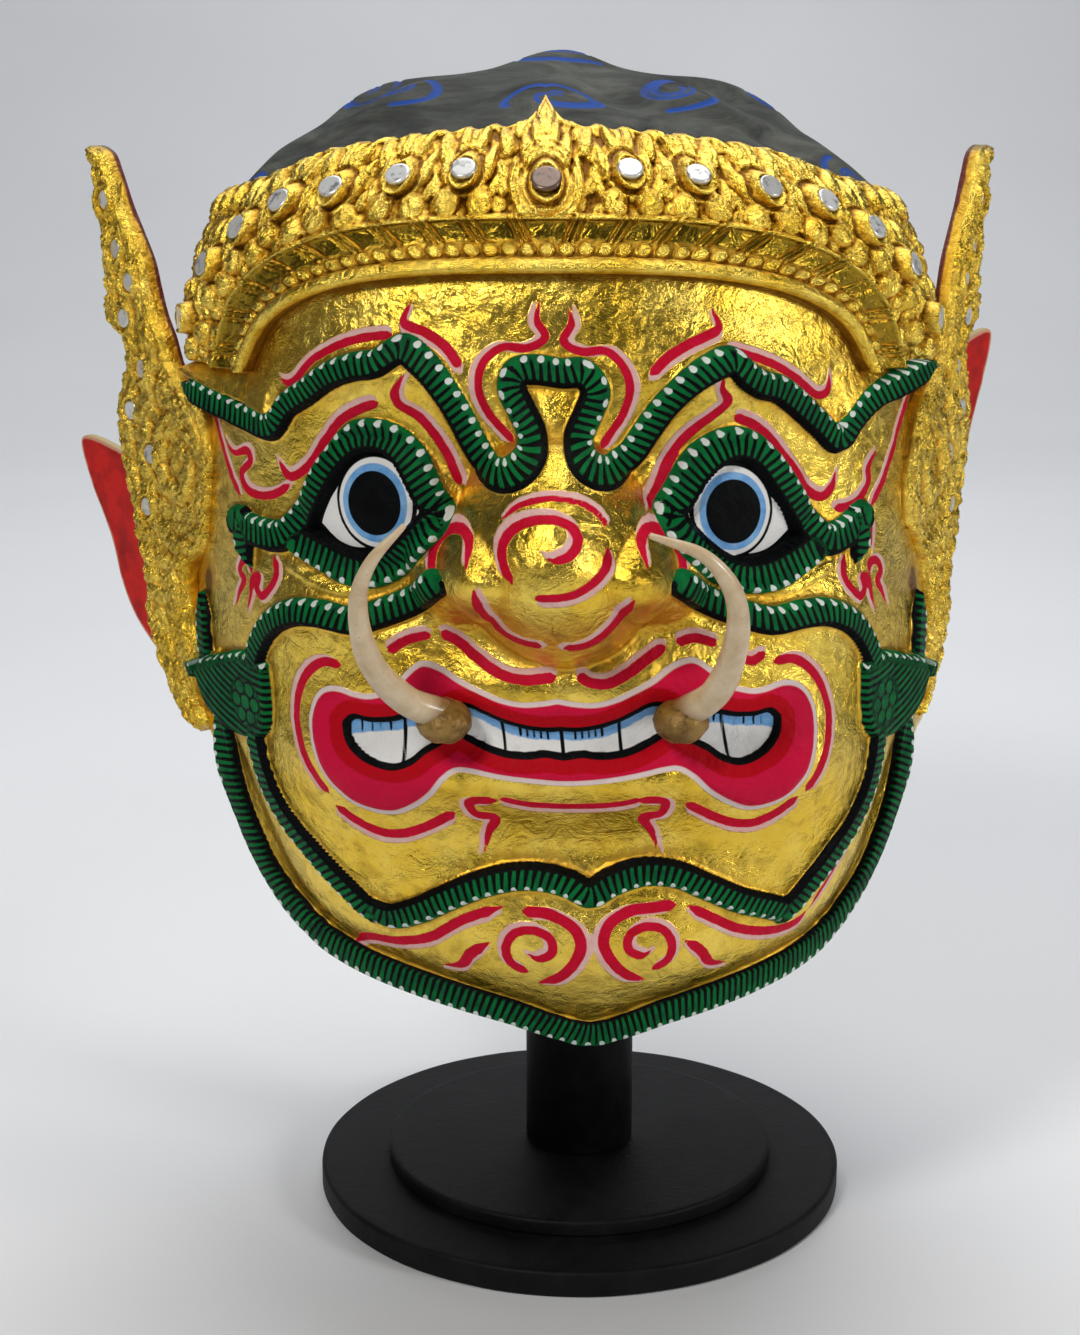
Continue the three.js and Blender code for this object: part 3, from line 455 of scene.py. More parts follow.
# Strokes of the right-hand side alone: a dash beyond the tusk, and a thin line beside the chin
RIGHT_STROKES = [
    ([[44.5, 125.8], [47.5, 124.6], [51, 126.6]], 2.0, 0.1, 0.1, (0, 1.0)),
    ([[71, 46.5], [76.5, 54.5], [82.5, 63.5], [86.5, 71.5]], 1.1, 0.2, 0.4, (0.8, -0.4)),
]

# Places of the round mirrors: chart places on the crown's right half, and outline places on an ear plate
CROWN_MIRRORS = [
    [0, 250.6], [25, 253], [45, 251.4], [66, 248], [84, 244], [98.5, 236.5], [112, 226], [127, 210],
]
EAR_MIRRORS = [[50, 241], [45, 227], [38, 218], [42, 207], [33, 193], [40, 180], [30, 168], [33, 152]]
CENTRE_MIRROR_RADIUS = 4.2
MIRROR_RADIUS = 3.5
EAR_MIRROR_RADIUS = 2.9
MIRROR_THICK = 1.2
MIRROR_SEAT = 9.0  # height of the crown's mirrors over the head
MIRROR_SIDES = 24

EAR_OUTLINE = [
    [10, 87], [20, 92], [27, 102], [33, 112], [36, 124], [37, 133], [39, 140], [41.5, 149], [44, 158],
    [47, 168], [48.5, 179], [45.5, 187], [42.5, 194], [43, 199.5], [49, 203], [53.5, 207.5], [51.5, 214],
    [54, 222], [53, 230], [57, 239], [56.5, 248], [61, 256], [52.5, 254.5], [48.5, 249], [43, 239.5],
    [37.5, 232], [32, 224], [29, 216], [26, 209], [22, 203], [18, 195], [12, 189.5], [4, 184.5], [0, 177],
    [-3, 170], [-6, 162], [-4, 153], [4, 143], [13, 136], [12, 122], [9, 110], [12, 98], [6, 91],
]
EAR_SCROLLS = [
    ([[14, 92], [24, 106], [30, 120], [33, 133], [38, 150], [43, 166], [44, 180], [39, 193], [41, 204]],
     4.2),
    ([[10, 100], [17, 114], [21, 128], [27, 142], [32, 158], [34, 174], [31, 186], [30, 198], [33, 212]],
     4.0),
    ([[27, 146], [16, 142], [4, 148], [-1, 160], [4, 173], [14, 180], [24, 174], [24, 162], [15, 158],
     [10, 165]], 3.4),
    ([[24, 188], [16, 184], [8, 182]], 3.0),
    ([[49, 204], [50, 214], [50, 226], [53, 238], [54, 247], [60, 255]], 3.6),
    ([[41, 206], [42, 218], [44, 230], [49, 242], [55, 252]], 3.2),
    ([[32, 208], [37, 222], [42, 234], [47, 245]], 3.0),
    ([[20, 96], [30, 110], [33, 124]], 3.0),
]
WING_OUTLINE = [
    [0, 148], [20, 151], [45, 155], [73.5, 158], [69, 143], [63.5, 134], [58.5, 125], [54, 112],
    [47.5, 101.5], [37, 92.5], [24, 86], [10, 90], [0, 100],
]
# Side, name, turn of the ear plate in degrees, lift and reach of the wing behind it
EAR_SIDES = [(-1, "left", 50, 0, 1), (1, "right", 63, 38, 0.62)]
EAR_ROOT = (101, -59)
WING_ROOT = (108, 9)
WING_TURN = 45
EAR_THICK = 5.0
WING_THICK = 3.0

TUSK_ROOT = [31.5, -127, 113]
TUSK_PATHS = {
    "left": [
        TUSK_ROOT, [41, -133, 118.5], [50, -142, 132], [52, -148, 149], [48.5, -151, 159],
        [40, -151, 168.5],
    ],
    "right": [
        TUSK_ROOT, [40, -134, 121], [44.5, -143, 138], [43, -148, 150.5], [35.5, -151, 160.5],
        [21.5, -151, 166],
    ],
}
TUSK_RADIUS = 4.4
TUSK_SIDES = 28
SOCKET_RADIUS = 7.5


def numbered(points):
    """Vertex numbers of a grid of points, in the order in which the points are stored."""
    return np.arange(points[..., 0].size).reshape(points.shape[:-1])


def wrapped(grid):
    """A grid of vertex numbers whose last column leads on to its first."""
    return np.concatenate([grid, grid[..., :1]], -1)


def quads_of(grid):
    """The four-cornered faces between the rows and columns of a grid of vertex numbers."""
    corners = [grid[..., :-1, :-1], grid[..., :-1, 1:], grid[..., 1:, 1:], grid[..., 1:, :-1]]
    return np.stack(corners, -1).reshape(-1, 4)


def linked(name, data):
    """A new object of the scene that holds this data."""
    made = bpy.data.objects.new(name, data)
    bpy.context.scene.collection.objects.link(made)
    return made


def faced_object(name, vertices, faces, smooth_faces):
    """An object from vertices in mm and lists of corners; so many of its first faces are shaded smooth."""
    mesh = bpy.data.meshes.new(name)
    mesh.from_pydata((vertices * MM).tolist(), [], faces)
    mesh.polygons.foreach_set("use_smooth", np.arange(len(faces)) < smooth_faces)
    mesh.update()
    return linked(name, mesh)


def make_piece(name, vertices, grid, fans=(), flip=False, fields=None):
    """A mesh piece from points in mm: a grid of quads, wrapped where columns close, and fans to poles.

    grid holds the vertex numbers, rows by columns. A fan is (pole vertex, ring of vertices) and winds
    round its ring counter-clockwise seen from outside. Only a piece without fans gets a UV map: the grid's
    own two directions.
    """
    rows, wide = grid.shape
    quads = quads_of(grid)
    row, column = np.mgrid[0:rows - 1, 0:wide - 1]
    s = np.stack([column, column + 1, column + 1, column], -1).reshape(-1, 4) / (wide - 1)
    t = np.stack([row, row, row + 1, row + 1], -1).reshape(-1, 4) / (rows - 1)
    triangles = [np.stack([np.full(len(r) - 1, p), r[:-1], r[1:]], -1) for p, r in fans]
    triangles = np.concatenate(triangles) if triangles else np.zeros((0, 3), int)
    if flip:
        quads, s, t, triangles = quads[:, ::-1], s[:, ::-1], t[:, ::-1], triangles[:, ::-1]
    loops = np.concatenate([quads.ravel(), triangles.ravel()])
    starts = np.concatenate([4 * np.arange(len(quads)), 4 * len(quads) + 3 * np.arange(len(triangles))])
    mesh = bpy.data.meshes.new(name)
    mesh.vertices.add(len(vertices))
    mesh.vertices.foreach_set("co", (np.asarray(vertices) * MM).astype(np.float32).ravel())
    mesh.loops.add(len(loops))
    mesh.loops.foreach_set("vertex_index", loops.astype(np.int32))
    mesh.polygons.add(len(starts))
    mesh.polygons.foreach_set("loop_start", starts.astype(np.int32))
    mesh.polygons.foreach_set("use_smooth", np.ones(len(starts), bool))
    mesh.update(calc_edges=True)
    for key, values in (fields or {}).items():
        layer = mesh.attributes.new(key, "FLOAT", "POINT")
        layer.data.foreach_set("value", np.asarray(values, np.float32).ravel())
    if not fans:
        uv = mesh.uv_layers.new(name="OFBake")
        uv.data.foreach_set("uv", (0.01 + 0.98 * np.stack([s, t], -1)).astype(np.float32).ravel())
    if mesh.validate():
        raise RuntimeError(f"{name} has faces that don't hold together")
    piece = linked(name, mesh)
    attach(piece, "root")
    return piece


def grid_piece(name, points, fields):
    """An open piece whose points are a grid of rows and columns."""
    return make_piece(name, points.reshape(-1, 3), numbered(points), fields=fields)


def domed_piece(name, rings, top, fields=None, flip=False):
    """A piece of rings of equal length that is open below and closes over a pole at its top."""
    grid = wrapped(numbered(rings))
    vertices = np.concatenate([rings.reshape(-1, 3), [top]])
    fans = [(len(vertices) - 1, grid[-1])]
    return make_piece(name, vertices, grid, fans=fans, flip=flip, fields=fields)


def closed_piece(name, rings, first, last, fields=None, flip=False):
    """A closed piece: rings of equal length, a pole at each end. Fields hold rings, then the poles."""
    grid = wrapped(numbered(rings))
    vertices = np.concatenate([rings.reshape(-1, 3), [first, last]])
    fans = [(len(vertices) - 2, grid[0][::-1]), (len(vertices) - 1, grid[-1])]
    return make_piece(name, vertices, grid, fans=fans, flip=flip, fields=fields)


def blurred(field, reach):
    """A field averaged over a square of side 2 reach + 1 cells, by differences of running sums."""
    out = field
    for axis in (0, 1):
        pad = [(reach + 1, reach) if k == axis else (0, 0) for k in (0, 1)]
        sums = np.cumsum(np.pad(out, pad, mode="edge"), axis=axis)
        size = out.shape[axis]
        ahead = np.take(sums, np.arange(2 * reach + 1, 2 * reach + 1 + size), axis=axis)
        behind = np.take(sums, np.arange(size), axis=axis)
        out = (ahead - behind) / (2 * reach + 1)
    return out


def ripple(x, y, z, size):
    """A smooth wandering field between about -1 and 1: three products of sines with uneven wavelengths."""
    a = np.sin(6.28 * (x / size + 0.37 * y / size)) * np.sin(6.28 * (z / size - 0.41 * x / size) + 1.3)
    b = np.sin(6.28 * (1.7 * z + 0.6 * y) / size + 2.1) * np.sin(6.28 * (1.3 * x - 0.8 * z) / size)
    c = np.sin(6.28 * (2.3 * x + 1.9 * z) / size + 0.6) * np.sin(6.28 * (2.1 * y - 1.1 * x) / size + 4)
    return 0.5 * a + 0.3 * b + 0.2 * c


def walled(*grids):
    """Grids with their first and last rows repeated, where a raised piece turns down to the head."""
    return [np.concatenate([grid[:1], grid, grid[-1:]]) for grid in grids]


def circles(across, third, sides):
    """Unit circles in the planes of two rows of directions."""
    turn = np.linspace(0, 2 * math.pi, sides + 1)[:-1][None, :, None]
    return np.cos(turn) * across[:, None] + np.sin(turn) * third[:, None]


def finish_piece(piece, material, slot, *nodes):
    """Gives a piece its material and hides the CAD nodes that it stands for; the slot is not used."""
    piece.data.materials.append(material)
    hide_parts(*nodes)


# Paint and relief fields of the face


def tapered(line, half, start, end):
    """Half width of a band along its line: half times the lesser of 1 and a ramp from each pointed end."""
    size = np.linalg.norm(np.diff(line, axis=0), axis=1).sum()

    def at(along):
        t = along / size
        ramp = np.ones_like(t)
        if start:
            ramp = np.minimum(ramp, 0.15 + t / start)
        if end:
            ramp = np.minimum(ramp, 0.15 + (1 - t) / end)
        return half * ramp

    return at


def band_lines():
    """The bands as (line, half width, sign of the dotted side, pointed start, pointed end)."""
    brow = BROW_LEFT + BROW_RIGHT[1:]
    rim = mirrored(RIM_LINE[1:])[::-1] + RIM_LINE
    return [
        (brow, BAND_HALF, 1, 0.03, 0.03),
        (LID_LEFT, LID_HALF, 1, 0.0, 0.0),
        (LID_RIGHT, LID_HALF, -1, 0.0, 0.0),
        (LID_TAIL_RIGHT, TAIL_HALF, 1, 0.0, 0.55),
        (LID_TAIL_LEFT, TAIL_HALF, -1, 0.0, 0.55),
        (CHEEK_LINE, BAND_HALF, 1, 0.0, 0.0),
        (mirrored(CHEEK_LINE), BAND_HALF, -1, 0.0, 0.0),
        (CHIN_LINE, BAND_HALF, -1, 0.0, 0.0),
        (rim, RIM_HALF, -1, 0.02, 0.02),
    ]


def band_fields(u, v):
    """Edge distance of the nearest green band (below zero in it), places along and across it, and rise.

    Across runs from -1 at the black edge to 1 at the dotted edge.
    """
    edge = np.full(u.shape, FAR)
    along = np.zeros(u.shape)
    across = np.zeros(u.shape)
    bands = band_lines()
    rim_band = bands[-1][0]
    for line, half, dotted, start, end in bands:
        path = curve(line)
        distance, place, side = nearest(u, v, path)
        width = tapered(path, half, start, end)(place)
        closer = distance - width < edge
        edge = np.where(closer, distance - width, edge)
        along = np.where(closer, place, along)
        place_across = dotted * side / np.maximum(width, 0.5)
        if line is rim_band:
            place_across = 1 - 0.84 * (1 - place_across)  # its black edge is thinner
        across = np.where(closer, place_across, across)
    rise = BAND_RISE + tip_rise(u) * (v > 178)
    for side in (-1, 1):
        loop = curve([[side * a, b] for a, b in LEAF_OUTLINE], closed=True)
        leaf = region(u, v, loop)
        a = np.abs(u)
        top = leaf_top(a) - v
        closer = (leaf < edge) & (side * u > 0)
        edge = np.where(closer, leaf, edge)
        along = np.where(closer, np.where(top < 2.6, a, np.hypot(a - 86, v - 146)), along)
        rosette = np.hypot(a - ROSETTE_PLACE[0], v - ROSETTE_PLACE[1]) < ROSETTE_CLEAR
        along = np.where(closer & rosette, 0, along)
        across = np.where(closer, np.where(top < 2.6, 1.02 - top / 3.2, -0.2), across)
        rise = np.where(closer, BAND_RISE + 4 * np.clip((a - 100) / 27, 0, None), rise)
    return edge, along, across, rise


def tip_rise(u):
    """How far the brow's tips stand out beyond the band's own rise, growing toward the temples."""
    return 7 * smooth((np.abs(u) - 90) / 32)


def leaf_top(a):
    """Height of the cheek leaf's upper edge at a chart distance from the middle."""
    return np.interp(a, [84, 96, 110, 127], [118, 119.5, 115.5, 109.5])


def stroke_fields(u, v):
    """Edge distances of the red strokes and of their pale edges, below zero inside."""
    red = np.full(u.shape, FAR)
    pale = np.full(u.shape, FAR)
    strokes = [(points, *rest) for points, *rest in RIGHT_STROKES]
    for points, width, start, end, (du, dv), right in STROKES:
        strokes.append((mirrored(points), width, start, end, (-du, dv)))
        if right is not None:
            line = moved(points, *right) if isinstance(right, tuple) else right
            strokes.append((line, width, start, end, (du, dv)))
    for line, width, start, end, pale_side in strokes:
        path = curve(line, 0.8)
        half = tapered(path, 0.58 * width, start, end)
        distance, place, _ = nearest(u, v, path, 5)
        red = np.minimum(red, distance - half(place))
        distance, place, _ = nearest(u, v, path + 1.35 * np.array(pale_side), 5)
        pale = np.minimum(pale, distance - half(place) - 0.1)
    return red, pale


def whole(points):
    """A closed loop from its right half, which starts and ends on the middle line."""
    return curve(points + mirrored(points)[-2:0:-1], 0.8, closed=True)


def mouth_place(u, v):
    """Where a place falls on the even mouth's chart: the real one is pushed left, its right end lifted."""
    return u + 0.8 + 2.2 * smooth((u + 45) / 35), v - 2.2 * smooth(u / 60)


def mouth_fields(u, v):
    """Signed distances to the lips' outline and to the openings' outline."""
    lip = region(u, v, whole(LIP_HALF), 12)
    opening = region(u, v, whole(MID_MOUTH_HALF), 12)
    for side in (-1, 1):
        loop = curve([[side * a, b] for a, b in SIDE_MOUTH], 0.8, closed=True)
        opening = np.minimum(opening, region(u, v, loop, 12))
    return lip, opening


def eye_fields(u, v):
    """Signed distance to the eyes, distance from the nearer iris's middle, signed distance to the lids."""
    left = curve(mirrored(moved(EYE_LOOP, *EYE_SHIFT_LEFT)), 0.8, closed=True)
    right = curve(moved(EYE_LOOP, *EYE_SHIFT_RIGHT), 0.8, closed=True)
    almond = np.minimum(region(u, v, left), region(u, v, right))
    loops = [curve(line[3:], 0.8, closed=True) for line in (LID_LEFT, LID_RIGHT)]
    well = np.minimum(*[region(u, v, loop, 12) for loop in loops])
    middles = [np.hypot(u - cu, (v - cv) / IRIS_TALL) for cu, cv in (IRIS_LEFT, IRIS_RIGHT)]
    return almond, np.minimum(*middles), well


def ink_field(u, v):
    """Edge distance of the fine black lines: tooth gaps and ticks, the leaf's rosette, and eye corners."""
    teeth, face = [], []
    for side in (-1, 1):
        for gap in TOOTH_GAPS:
            teeth.append(([[side * gap, 115], [side * gap * 0.97, 99]], 0.5))
        teeth.append(([[side * (SIDE_TOOTH_GAP - 0.6), 110], [side * (SIDE_TOOTH_GAP + 0.6), 94]], 0.5))
        for tick in TOOTH_TICKS:
            top = float(UPPER_TEETH(tick))
            teeth.append(([[side * tick, top], [side * (tick - 0.15), top - 2.9]], 0.36))
        turn = np.linspace(0, 2 * math.pi, 17)
        for k in range(7):
            away, radius = (4.6, 2.3) if k else (0, 2.4)
            cu = ROSETTE_PLACE[0] + away * math.cos(k * math.pi / 3)
            cv = ROSETTE_PLACE[1] + away * math.sin(k * math.pi / 3)
            ring = [side * (cu + radius * np.cos(turn)), cv + radius * np.sin(turn)]
            face.append((np.stack(ring, -1), 0.4))
        face.append(([[side * 35, 163], [side * 31, 166], [side * 26.5, 169]], 0.4))
        face.append(([[side * 35, 166], [side * 30.5, 166.4], [side * 27, 163]], 0.4))
    ink = np.full(u.shape, FAR)
    for lines, (x, y) in ((teeth, mouth_place(u, v)), (face, (u, v))):
        for line, half in lines:
            distance, _, _ = nearest(x, y, np.asarray(line, float), 4)
            ink = np.minimum(ink, distance - half)
    return ink


def face_grid(low, high, columns, rows):
    """Chart places of the skin between two chart distances, from the rim up to behind the crown."""
    u = np.linspace(low, high, columns)[None, :]
    rim = rim_height(folded(u))
    v = rim + (SKIN_TOP - rim) * np.linspace(0, 1, rows)[:, None]
    return np.broadcast_to(u, v.shape).copy(), v


def ledge_field(u, v):
    """The amber ledge over each brow tip: 1 on the brow's upper edge, falling to 0 at the crown's leg."""
    a = np.abs(u)
    brow = np.where(u < 0, np.interp(a, [82, 92, 105, 122], [184.5, 187, 190, 193.5]),
                    np.interp(a, [82, 95, 106, 122], [181, 188, 191, 194.5])) + 2.6
    rise = 1 - np.clip((v - brow) / np.maximum(199 - brow, 1), 0, 1)
    return rise * smooth((a - 81) / 4) * (v > brow - 1) * smooth((130 - a) / 4)


def build_face(look):
    """The gilded front: the face form with bands, lips and lids raised on it, and its paint as fields."""
    u, v = face_grid(-CROWN_SIDE, CROWN_SIDE, look.face_columns, look.face_rows)
    edge, along, across, rise = band_fields(u, v)
    red, pale = stroke_fields(u, v)
    mouth_u, mouth_v = mouth_place(u, v)
    lip, opening = mouth_fields(mouth_u, mouth_v)
    almond, iris, well = eye_fields(u, v)
    ledge = ledge_field(u, v)
    band = smooth(-edge / 0.9)
    relief = rise * band
    relief = np.maximum(relief, ledge * (BAND_RISE + tip_rise(u)))
    relief += 1.3 * smooth(-lip / 2.2) - 1.5 * smooth(-opening / 1.0)
    relief += 0.5 * mound(u, v, 0, 104, 80, 6, 1) * (opening < -1)
    relief -= 0.8 * smooth(-well / 2.5) * (1 - band)
    relief += 1.3 * half_round(iris / 11.4)
    relief += fold_relief(u, v)
    inward = v - rim_height(np.abs(u))
    channel = peak((edge_reach(u, v) - 10.5) / 5.5) * smooth((104 - v) / 12) * smooth(inward / 3)
    form = face_form(u, v) + relief - 2.4 * channel
    form += 0.22 * ripple(u, v, u + v, 31) * (1 - band) + 0.1 * ripple(u, v, v - u, 9)
    hollow = 0.6 * np.clip((blurred(form, 5) - form) / 1.2, 0, 1)
    hollow = np.maximum(hollow, 0.5 * peak(np.clip(edge, 0, None) / 0.8) * (edge > 0))
    hollow = np.maximum(hollow, 0.36 * (ledge > 0.03))
    hollow = np.maximum(hollow, 0.42 * channel)
    # Painted shade: a dark patch on the face's side behind each ear, where the ear shades the head; it
    # rides in the hollow field and comes out in deep toner
    hollow = np.maximum(hollow, 1.3 * bell(np.abs(u), v, 121, 134, 5, 7))
    crown_shade = smooth(1 - np.abs(arch_distance(u, v)) / 2)
    hollow = np.maximum(hollow, 0.8 * crown_shade * (v > 183))
    points = head_point(u, v, form)
    fields = {
        "band": edge, "along": along, "across": across, "red": red, "pale": pale, "lip": lip,
        "opening": opening, "almond": almond, "iris": iris, "well": well, "ink": ink_field(u, v),
        "hollow": hollow, "tooth": UPPER_TEETH(np.abs(mouth_u)) - mouth_v, "wide": u,
    }
    piece = grid_piece("mask_face", points, fields)
    finish_piece(piece, face_finish(look), "gilded_papier_mache", "mask_shell")


def edge_reach(u, v):
    """Distance inward from the mask's lower edge, measured to the edge drawn as a line on the chart."""
    a = np.linspace(0, 140, 90)
    distance, _, _ = nearest(np.abs(u), v, np.stack([a, rim_height(a)], -1), 24)
    return distance


def fold_relief(u, v):
    """Gilded half-round folds: a ridge over the cheek band, the nose wing's scroll and the smile line."""
    folds = [
        ([[27, 166], [33, 156], [42, 147.5], [54, 143], [66, 144], [76, 147]], 1.6, 0.9),
        ([[30, 146], [33, 153], [31, 160], [25, 165], [18, 165]], 1.8, 1.0),
        ([[18, 140], [24, 136], [32, 137], [37, 134], [46, 130]], 2.2, 1.0),
        ([[17, 166], [22, 172], [26, 177]], 1.8, 0.7),
    ]
    out = np.zeros(u.shape)
    for line, half, rise in folds:
        distance, _, _ = nearest(np.abs(u), v, curve(line))
        out = np.maximum(out, rise * half_round(distance / half))
    return out


def build_nape(look):
    """The plain gilded back of the mask, from one side of the front round to the other."""
    u, v = face_grid(CROWN_SIDE - 1, 2 * HALF_TURN - CROWN_SIDE + 1, 190, 90)
    near, place = folded(u), unrolled(u)
    rim = rim_height(near)
    form = face_form(near, v) - 0.15 * smooth((near - CROWN_SIDE) / 3) + 0.3 * ripple(place, v, v, 40)
    lowest = BAND_RISE * 0.5 * smooth((5 - (v - rim)) / 2)
    form = form + lowest * smooth((near - CROWN_SIDE - 2) / 10)
    points = head_point(place, v, form)
    hollow = peak((v - rim - 6) / 1.5) + 0.25 * (ripple(u, v, u, 60) > 0.3)
    piece = grid_piece("mask_nape", points, {"hollow": hollow})
    finish_piece(piece, gold_finish(look, "gold_nape", 0.7), "gilded_papier_mache", "mask_shell")


def build_lining(look):
    """Inside and lower edge of the wall: the outer form turned in at the rim, then set back by the wall."""
    turn = np.linspace(-HALF_TURN, HALF_TURN, 241)[:-1][None, :]
    rim = rim_height(np.abs(turn))
    rings = []
    for share, drop in ((0.985, -0.2), (0.75, 0.7), (0.3, 0.8), (0.03, 0.1)):
        outer = face_form(turn, rim)
        inner = 0.75 * outer - WALL
        rings.append(head_point(turn, rim - drop, inner + (outer - inner) * share)[0])
    for share in np.linspace(0, 1, 46)[1:]:
        v = rim + (SHOULDER - rim) * share
        wave = 0.35 * ripple(turn, v, v + turn, 37)
        rings.append(head_point(turn, v, 0.75 * face_form(turn, v) - WALL + wave)[0])
    for phi in np.linspace(0, math.pi / 2, 24)[1:-1]:
        down = WALL - CURL_GROUND * math.sin(phi) ** 2
        point = head_point(turn, SHOULDER + DOME_RISE * math.sin(phi))[0]
        rings.append(point - down * dome_direction(turn[0] / CHART_RADIUS, phi))
    pole = [AXIS_X, 0, MASK_LIFT + SHOULDER + DOME_RISE - WALL + CURL_GROUND]
    piece = domed_piece("mask_lining", np.stack(rings), pole, flip=True)
    finish_piece(piece, lining_finish(look), "gilded_papier_mache", "mask_shell")


# Hair

# Middles of the snail curls round the dome: turn from the front and lift above the shoulder, in degrees
CURL_MIDDLES = [(45 * k, 60) for k in range(8)] + [(22.5 + 45 * k, 33) for k in range(8)] + [(0, 88)]
CURL_GROUND = -2.7


def hair_swell(theta, phi):
    """Snail curls, swelling along the normal: two rings of eight by a cosine of the turn, one on top."""
    bare = SHOULDER + DOME_RISE * np.sin(phi) - crown_top(np.abs(theta) * CHART_RADIUS)
    wave, lift = np.cos(8 * theta), np.degrees(phi)
    upper = (1.2 + 2.5 * wave) * peak((lift - 62) / 11)
    lower = (0.6 - 2.2 * wave) * peak((lift - 36) / 12)
    top = 5.6 * peak((90 - lift) / 7)
    return np.clip(bare / 8, 0, 1) * (CURL_GROUND + upper + lower + top)


def curl_field(direction):
    """Edge distance of the painted spirals, drawn in the plane that touches each curl's middle.

    A spiral's radius grows as a power of its turn; a second, shorter arm starts opposite the first.
    """
    spin = np.linspace(0.12, 1, 46)
    paint = np.full(direction.shape[:-1], FAR)
    for k, (turn, lift) in enumerate(CURL_MIDDLES):
        turn, lift = math.radians(turn + 4 * (-1) ** k), math.radians(lift + 3 * math.sin(2.1 * k))
        middle = dome_direction(turn, lift)
        across = np.cross([0, 0, 1], middle)
        across /= np.linalg.norm(across)
        upward = np.cross(middle, across)
        x, y = 105 * direction @ across, 105 * direction @ upward
        behind = (direction @ middle < 0.6) * FAR
        hand = -1 if k % 2 else 1
        angle = 1.9 * k + 3.1 * math.pi * spin
        arm = 14.5 * spin**1.3
        for offset, share in ((0, 1.0), (math.pi, 0.72)):
            swing = angle + offset
            line = np.stack([hand * arm * np.cos(swing), 0.8 * arm * np.sin(swing)], -1) * share
            distance, along, _ = nearest(x, y, line[int(46 * (1 - share) * 1.4):], 4)
            width = 1.2 * np.clip(0.5 + along / 40, 0, 1)
            paint = np.minimum(paint, distance - width + behind)
    return paint


def build_hair(look):
    """The dark dome of hair above the crown: the head's dome swollen along its normal into soft curls."""
    start = math.asin((SKIN_TOP - SHOULDER) / DOME_RISE)
    phi = np.linspace(start, math.pi / 2, 150)[:-1][:, None]
    theta = np.linspace(-math.pi, math.pi, 541)[:-1][None, :]
    phi, theta = np.broadcast_arrays(phi, theta)
    normal = dome_direction(theta, phi)
    swell = hair_swell(theta, phi) + 0.35 * ripple(*np.moveaxis(normal * 90, -1, 0), 41)
    paint = curl_field(normal)
    bare = np.clip((SHOULDER + DOME_RISE * np.sin(phi) - crown_top(np.abs(theta) * CHART_RADIUS)) / 8, 0, 1)
    swell = swell - 0.45 * smooth(-paint / 1.0) * bare
    point = head_point(theta * CHART_RADIUS, SHOULDER + DOME_RISE * np.sin(phi))
    rings = point + swell[..., None] * normal
    top = [AXIS_X, 0, MASK_LIFT + SHOULDER + DOME_RISE + 2.6]
    piece = domed_piece("mask_hair", rings, top, {"curl": np.append(paint.ravel(), 1.0)})
    finish_piece(piece, hair_finish(look), "gilded_papier_mache", "mask_shell")


# Crown


def arch_distance(u, v):
    """Distance outward from the superelliptic arch round the forehead: level minus one over its slope."""
    a = np.abs(u) / ARCH_HALF
    b = np.clip(v - ARCH_FOOT, 0, None) / ARCH_RISE
    level = np.maximum((a**ARCH_POWER + b**ARCH_POWER) ** (1 / ARCH_POWER), 1e-3)
    slope_u = (a / level) ** (ARCH_POWER - 1) / ARCH_HALF
    slope_v = (b / level) ** (ARCH_POWER - 1) / ARCH_RISE
    return (level - 1) / np.hypot(slope_u, slope_v)


def arch_place(u, v):
    """Length along the arch from its middle: the angle on the superellipse, looked up in its own arc."""
    turn = np.linspace(0, math.pi / 2, 600)
    x = ARCH_HALF * np.cos(turn) ** (2 / ARCH_POWER)
    y = ARCH_RISE * np.sin(turn) ** (2 / ARCH_POWER)
    steps = np.hypot(np.diff(x), np.diff(y))
    length = np.concatenate([[0], np.cumsum(steps)])
    a = np.abs(u) / ARCH_HALF
    b = np.clip(v - ARCH_FOOT, 0, None) / ARCH_RISE
    angle = np.arctan2(b ** (ARCH_POWER / 2), a ** (ARCH_POWER / 2))
    return length[-1] - np.interp(angle, turn, length)


def petal(x, y, cx, cy, rx, ry, tilt, rise, base=0.0):
    """A leaf-like lump on a base height: a half ellipsoid with its axes turned by tilt degrees."""
    turn = math.radians(tilt)
    p = (x - cx) * math.cos(turn) + (y - cy) * math.sin(turn)
    q = (y - cy) * math.cos(turn) - (x - cx) * math.sin(turn)
    squeeze = rx * np.clip(1 - 0.35 * q / ry, 0.4, 1.4)
    dome = np.clip(1 - (p / squeeze) ** 2 - (q / ry) ** 2, 0, 1) ** 0.42
    return base + dome * (rise - 0.45 * peak(p / 0.5))


ROLL_END = 4.4
BEAD_END = 7.8
TILE_END = 14.4
BEAD_PITCH = 4.6
TILE_PITCH = 10.4

# One leaf round a mirror, as lumps: centre, half sizes, turn in degrees, height over the leaf's ground
LEAF_LUMPS = [
    (-4.6, -7.6, 3.6, 4.6, -34, 4.4), (4.4, -7.2, 4.0, 4.6, 34, 4.9), (0, 1.0, 6.6, 8.4, 0, 2.8),
    (-6.6, 1.8, 2.3, 5.2, 16, 3.5), (6.6, 1.8, 2.4, 5.4, -16, 3.9), (-2.9, 8.2, 2.0, 4.4, 16, 3.8),
    (3.3, 8.0, 2.2, 4.6, -18, 4.3), (0, 9.4, 1.9, 4.6, -6, 4.6), (0, -11.0, 1.5, 2.4, 0, 2.8),
    (-9.2, -3.6, 1.6, 3.4, 22, 2.6), (9.2, -3.6, 1.6, 3.4, -22, 2.8),
]
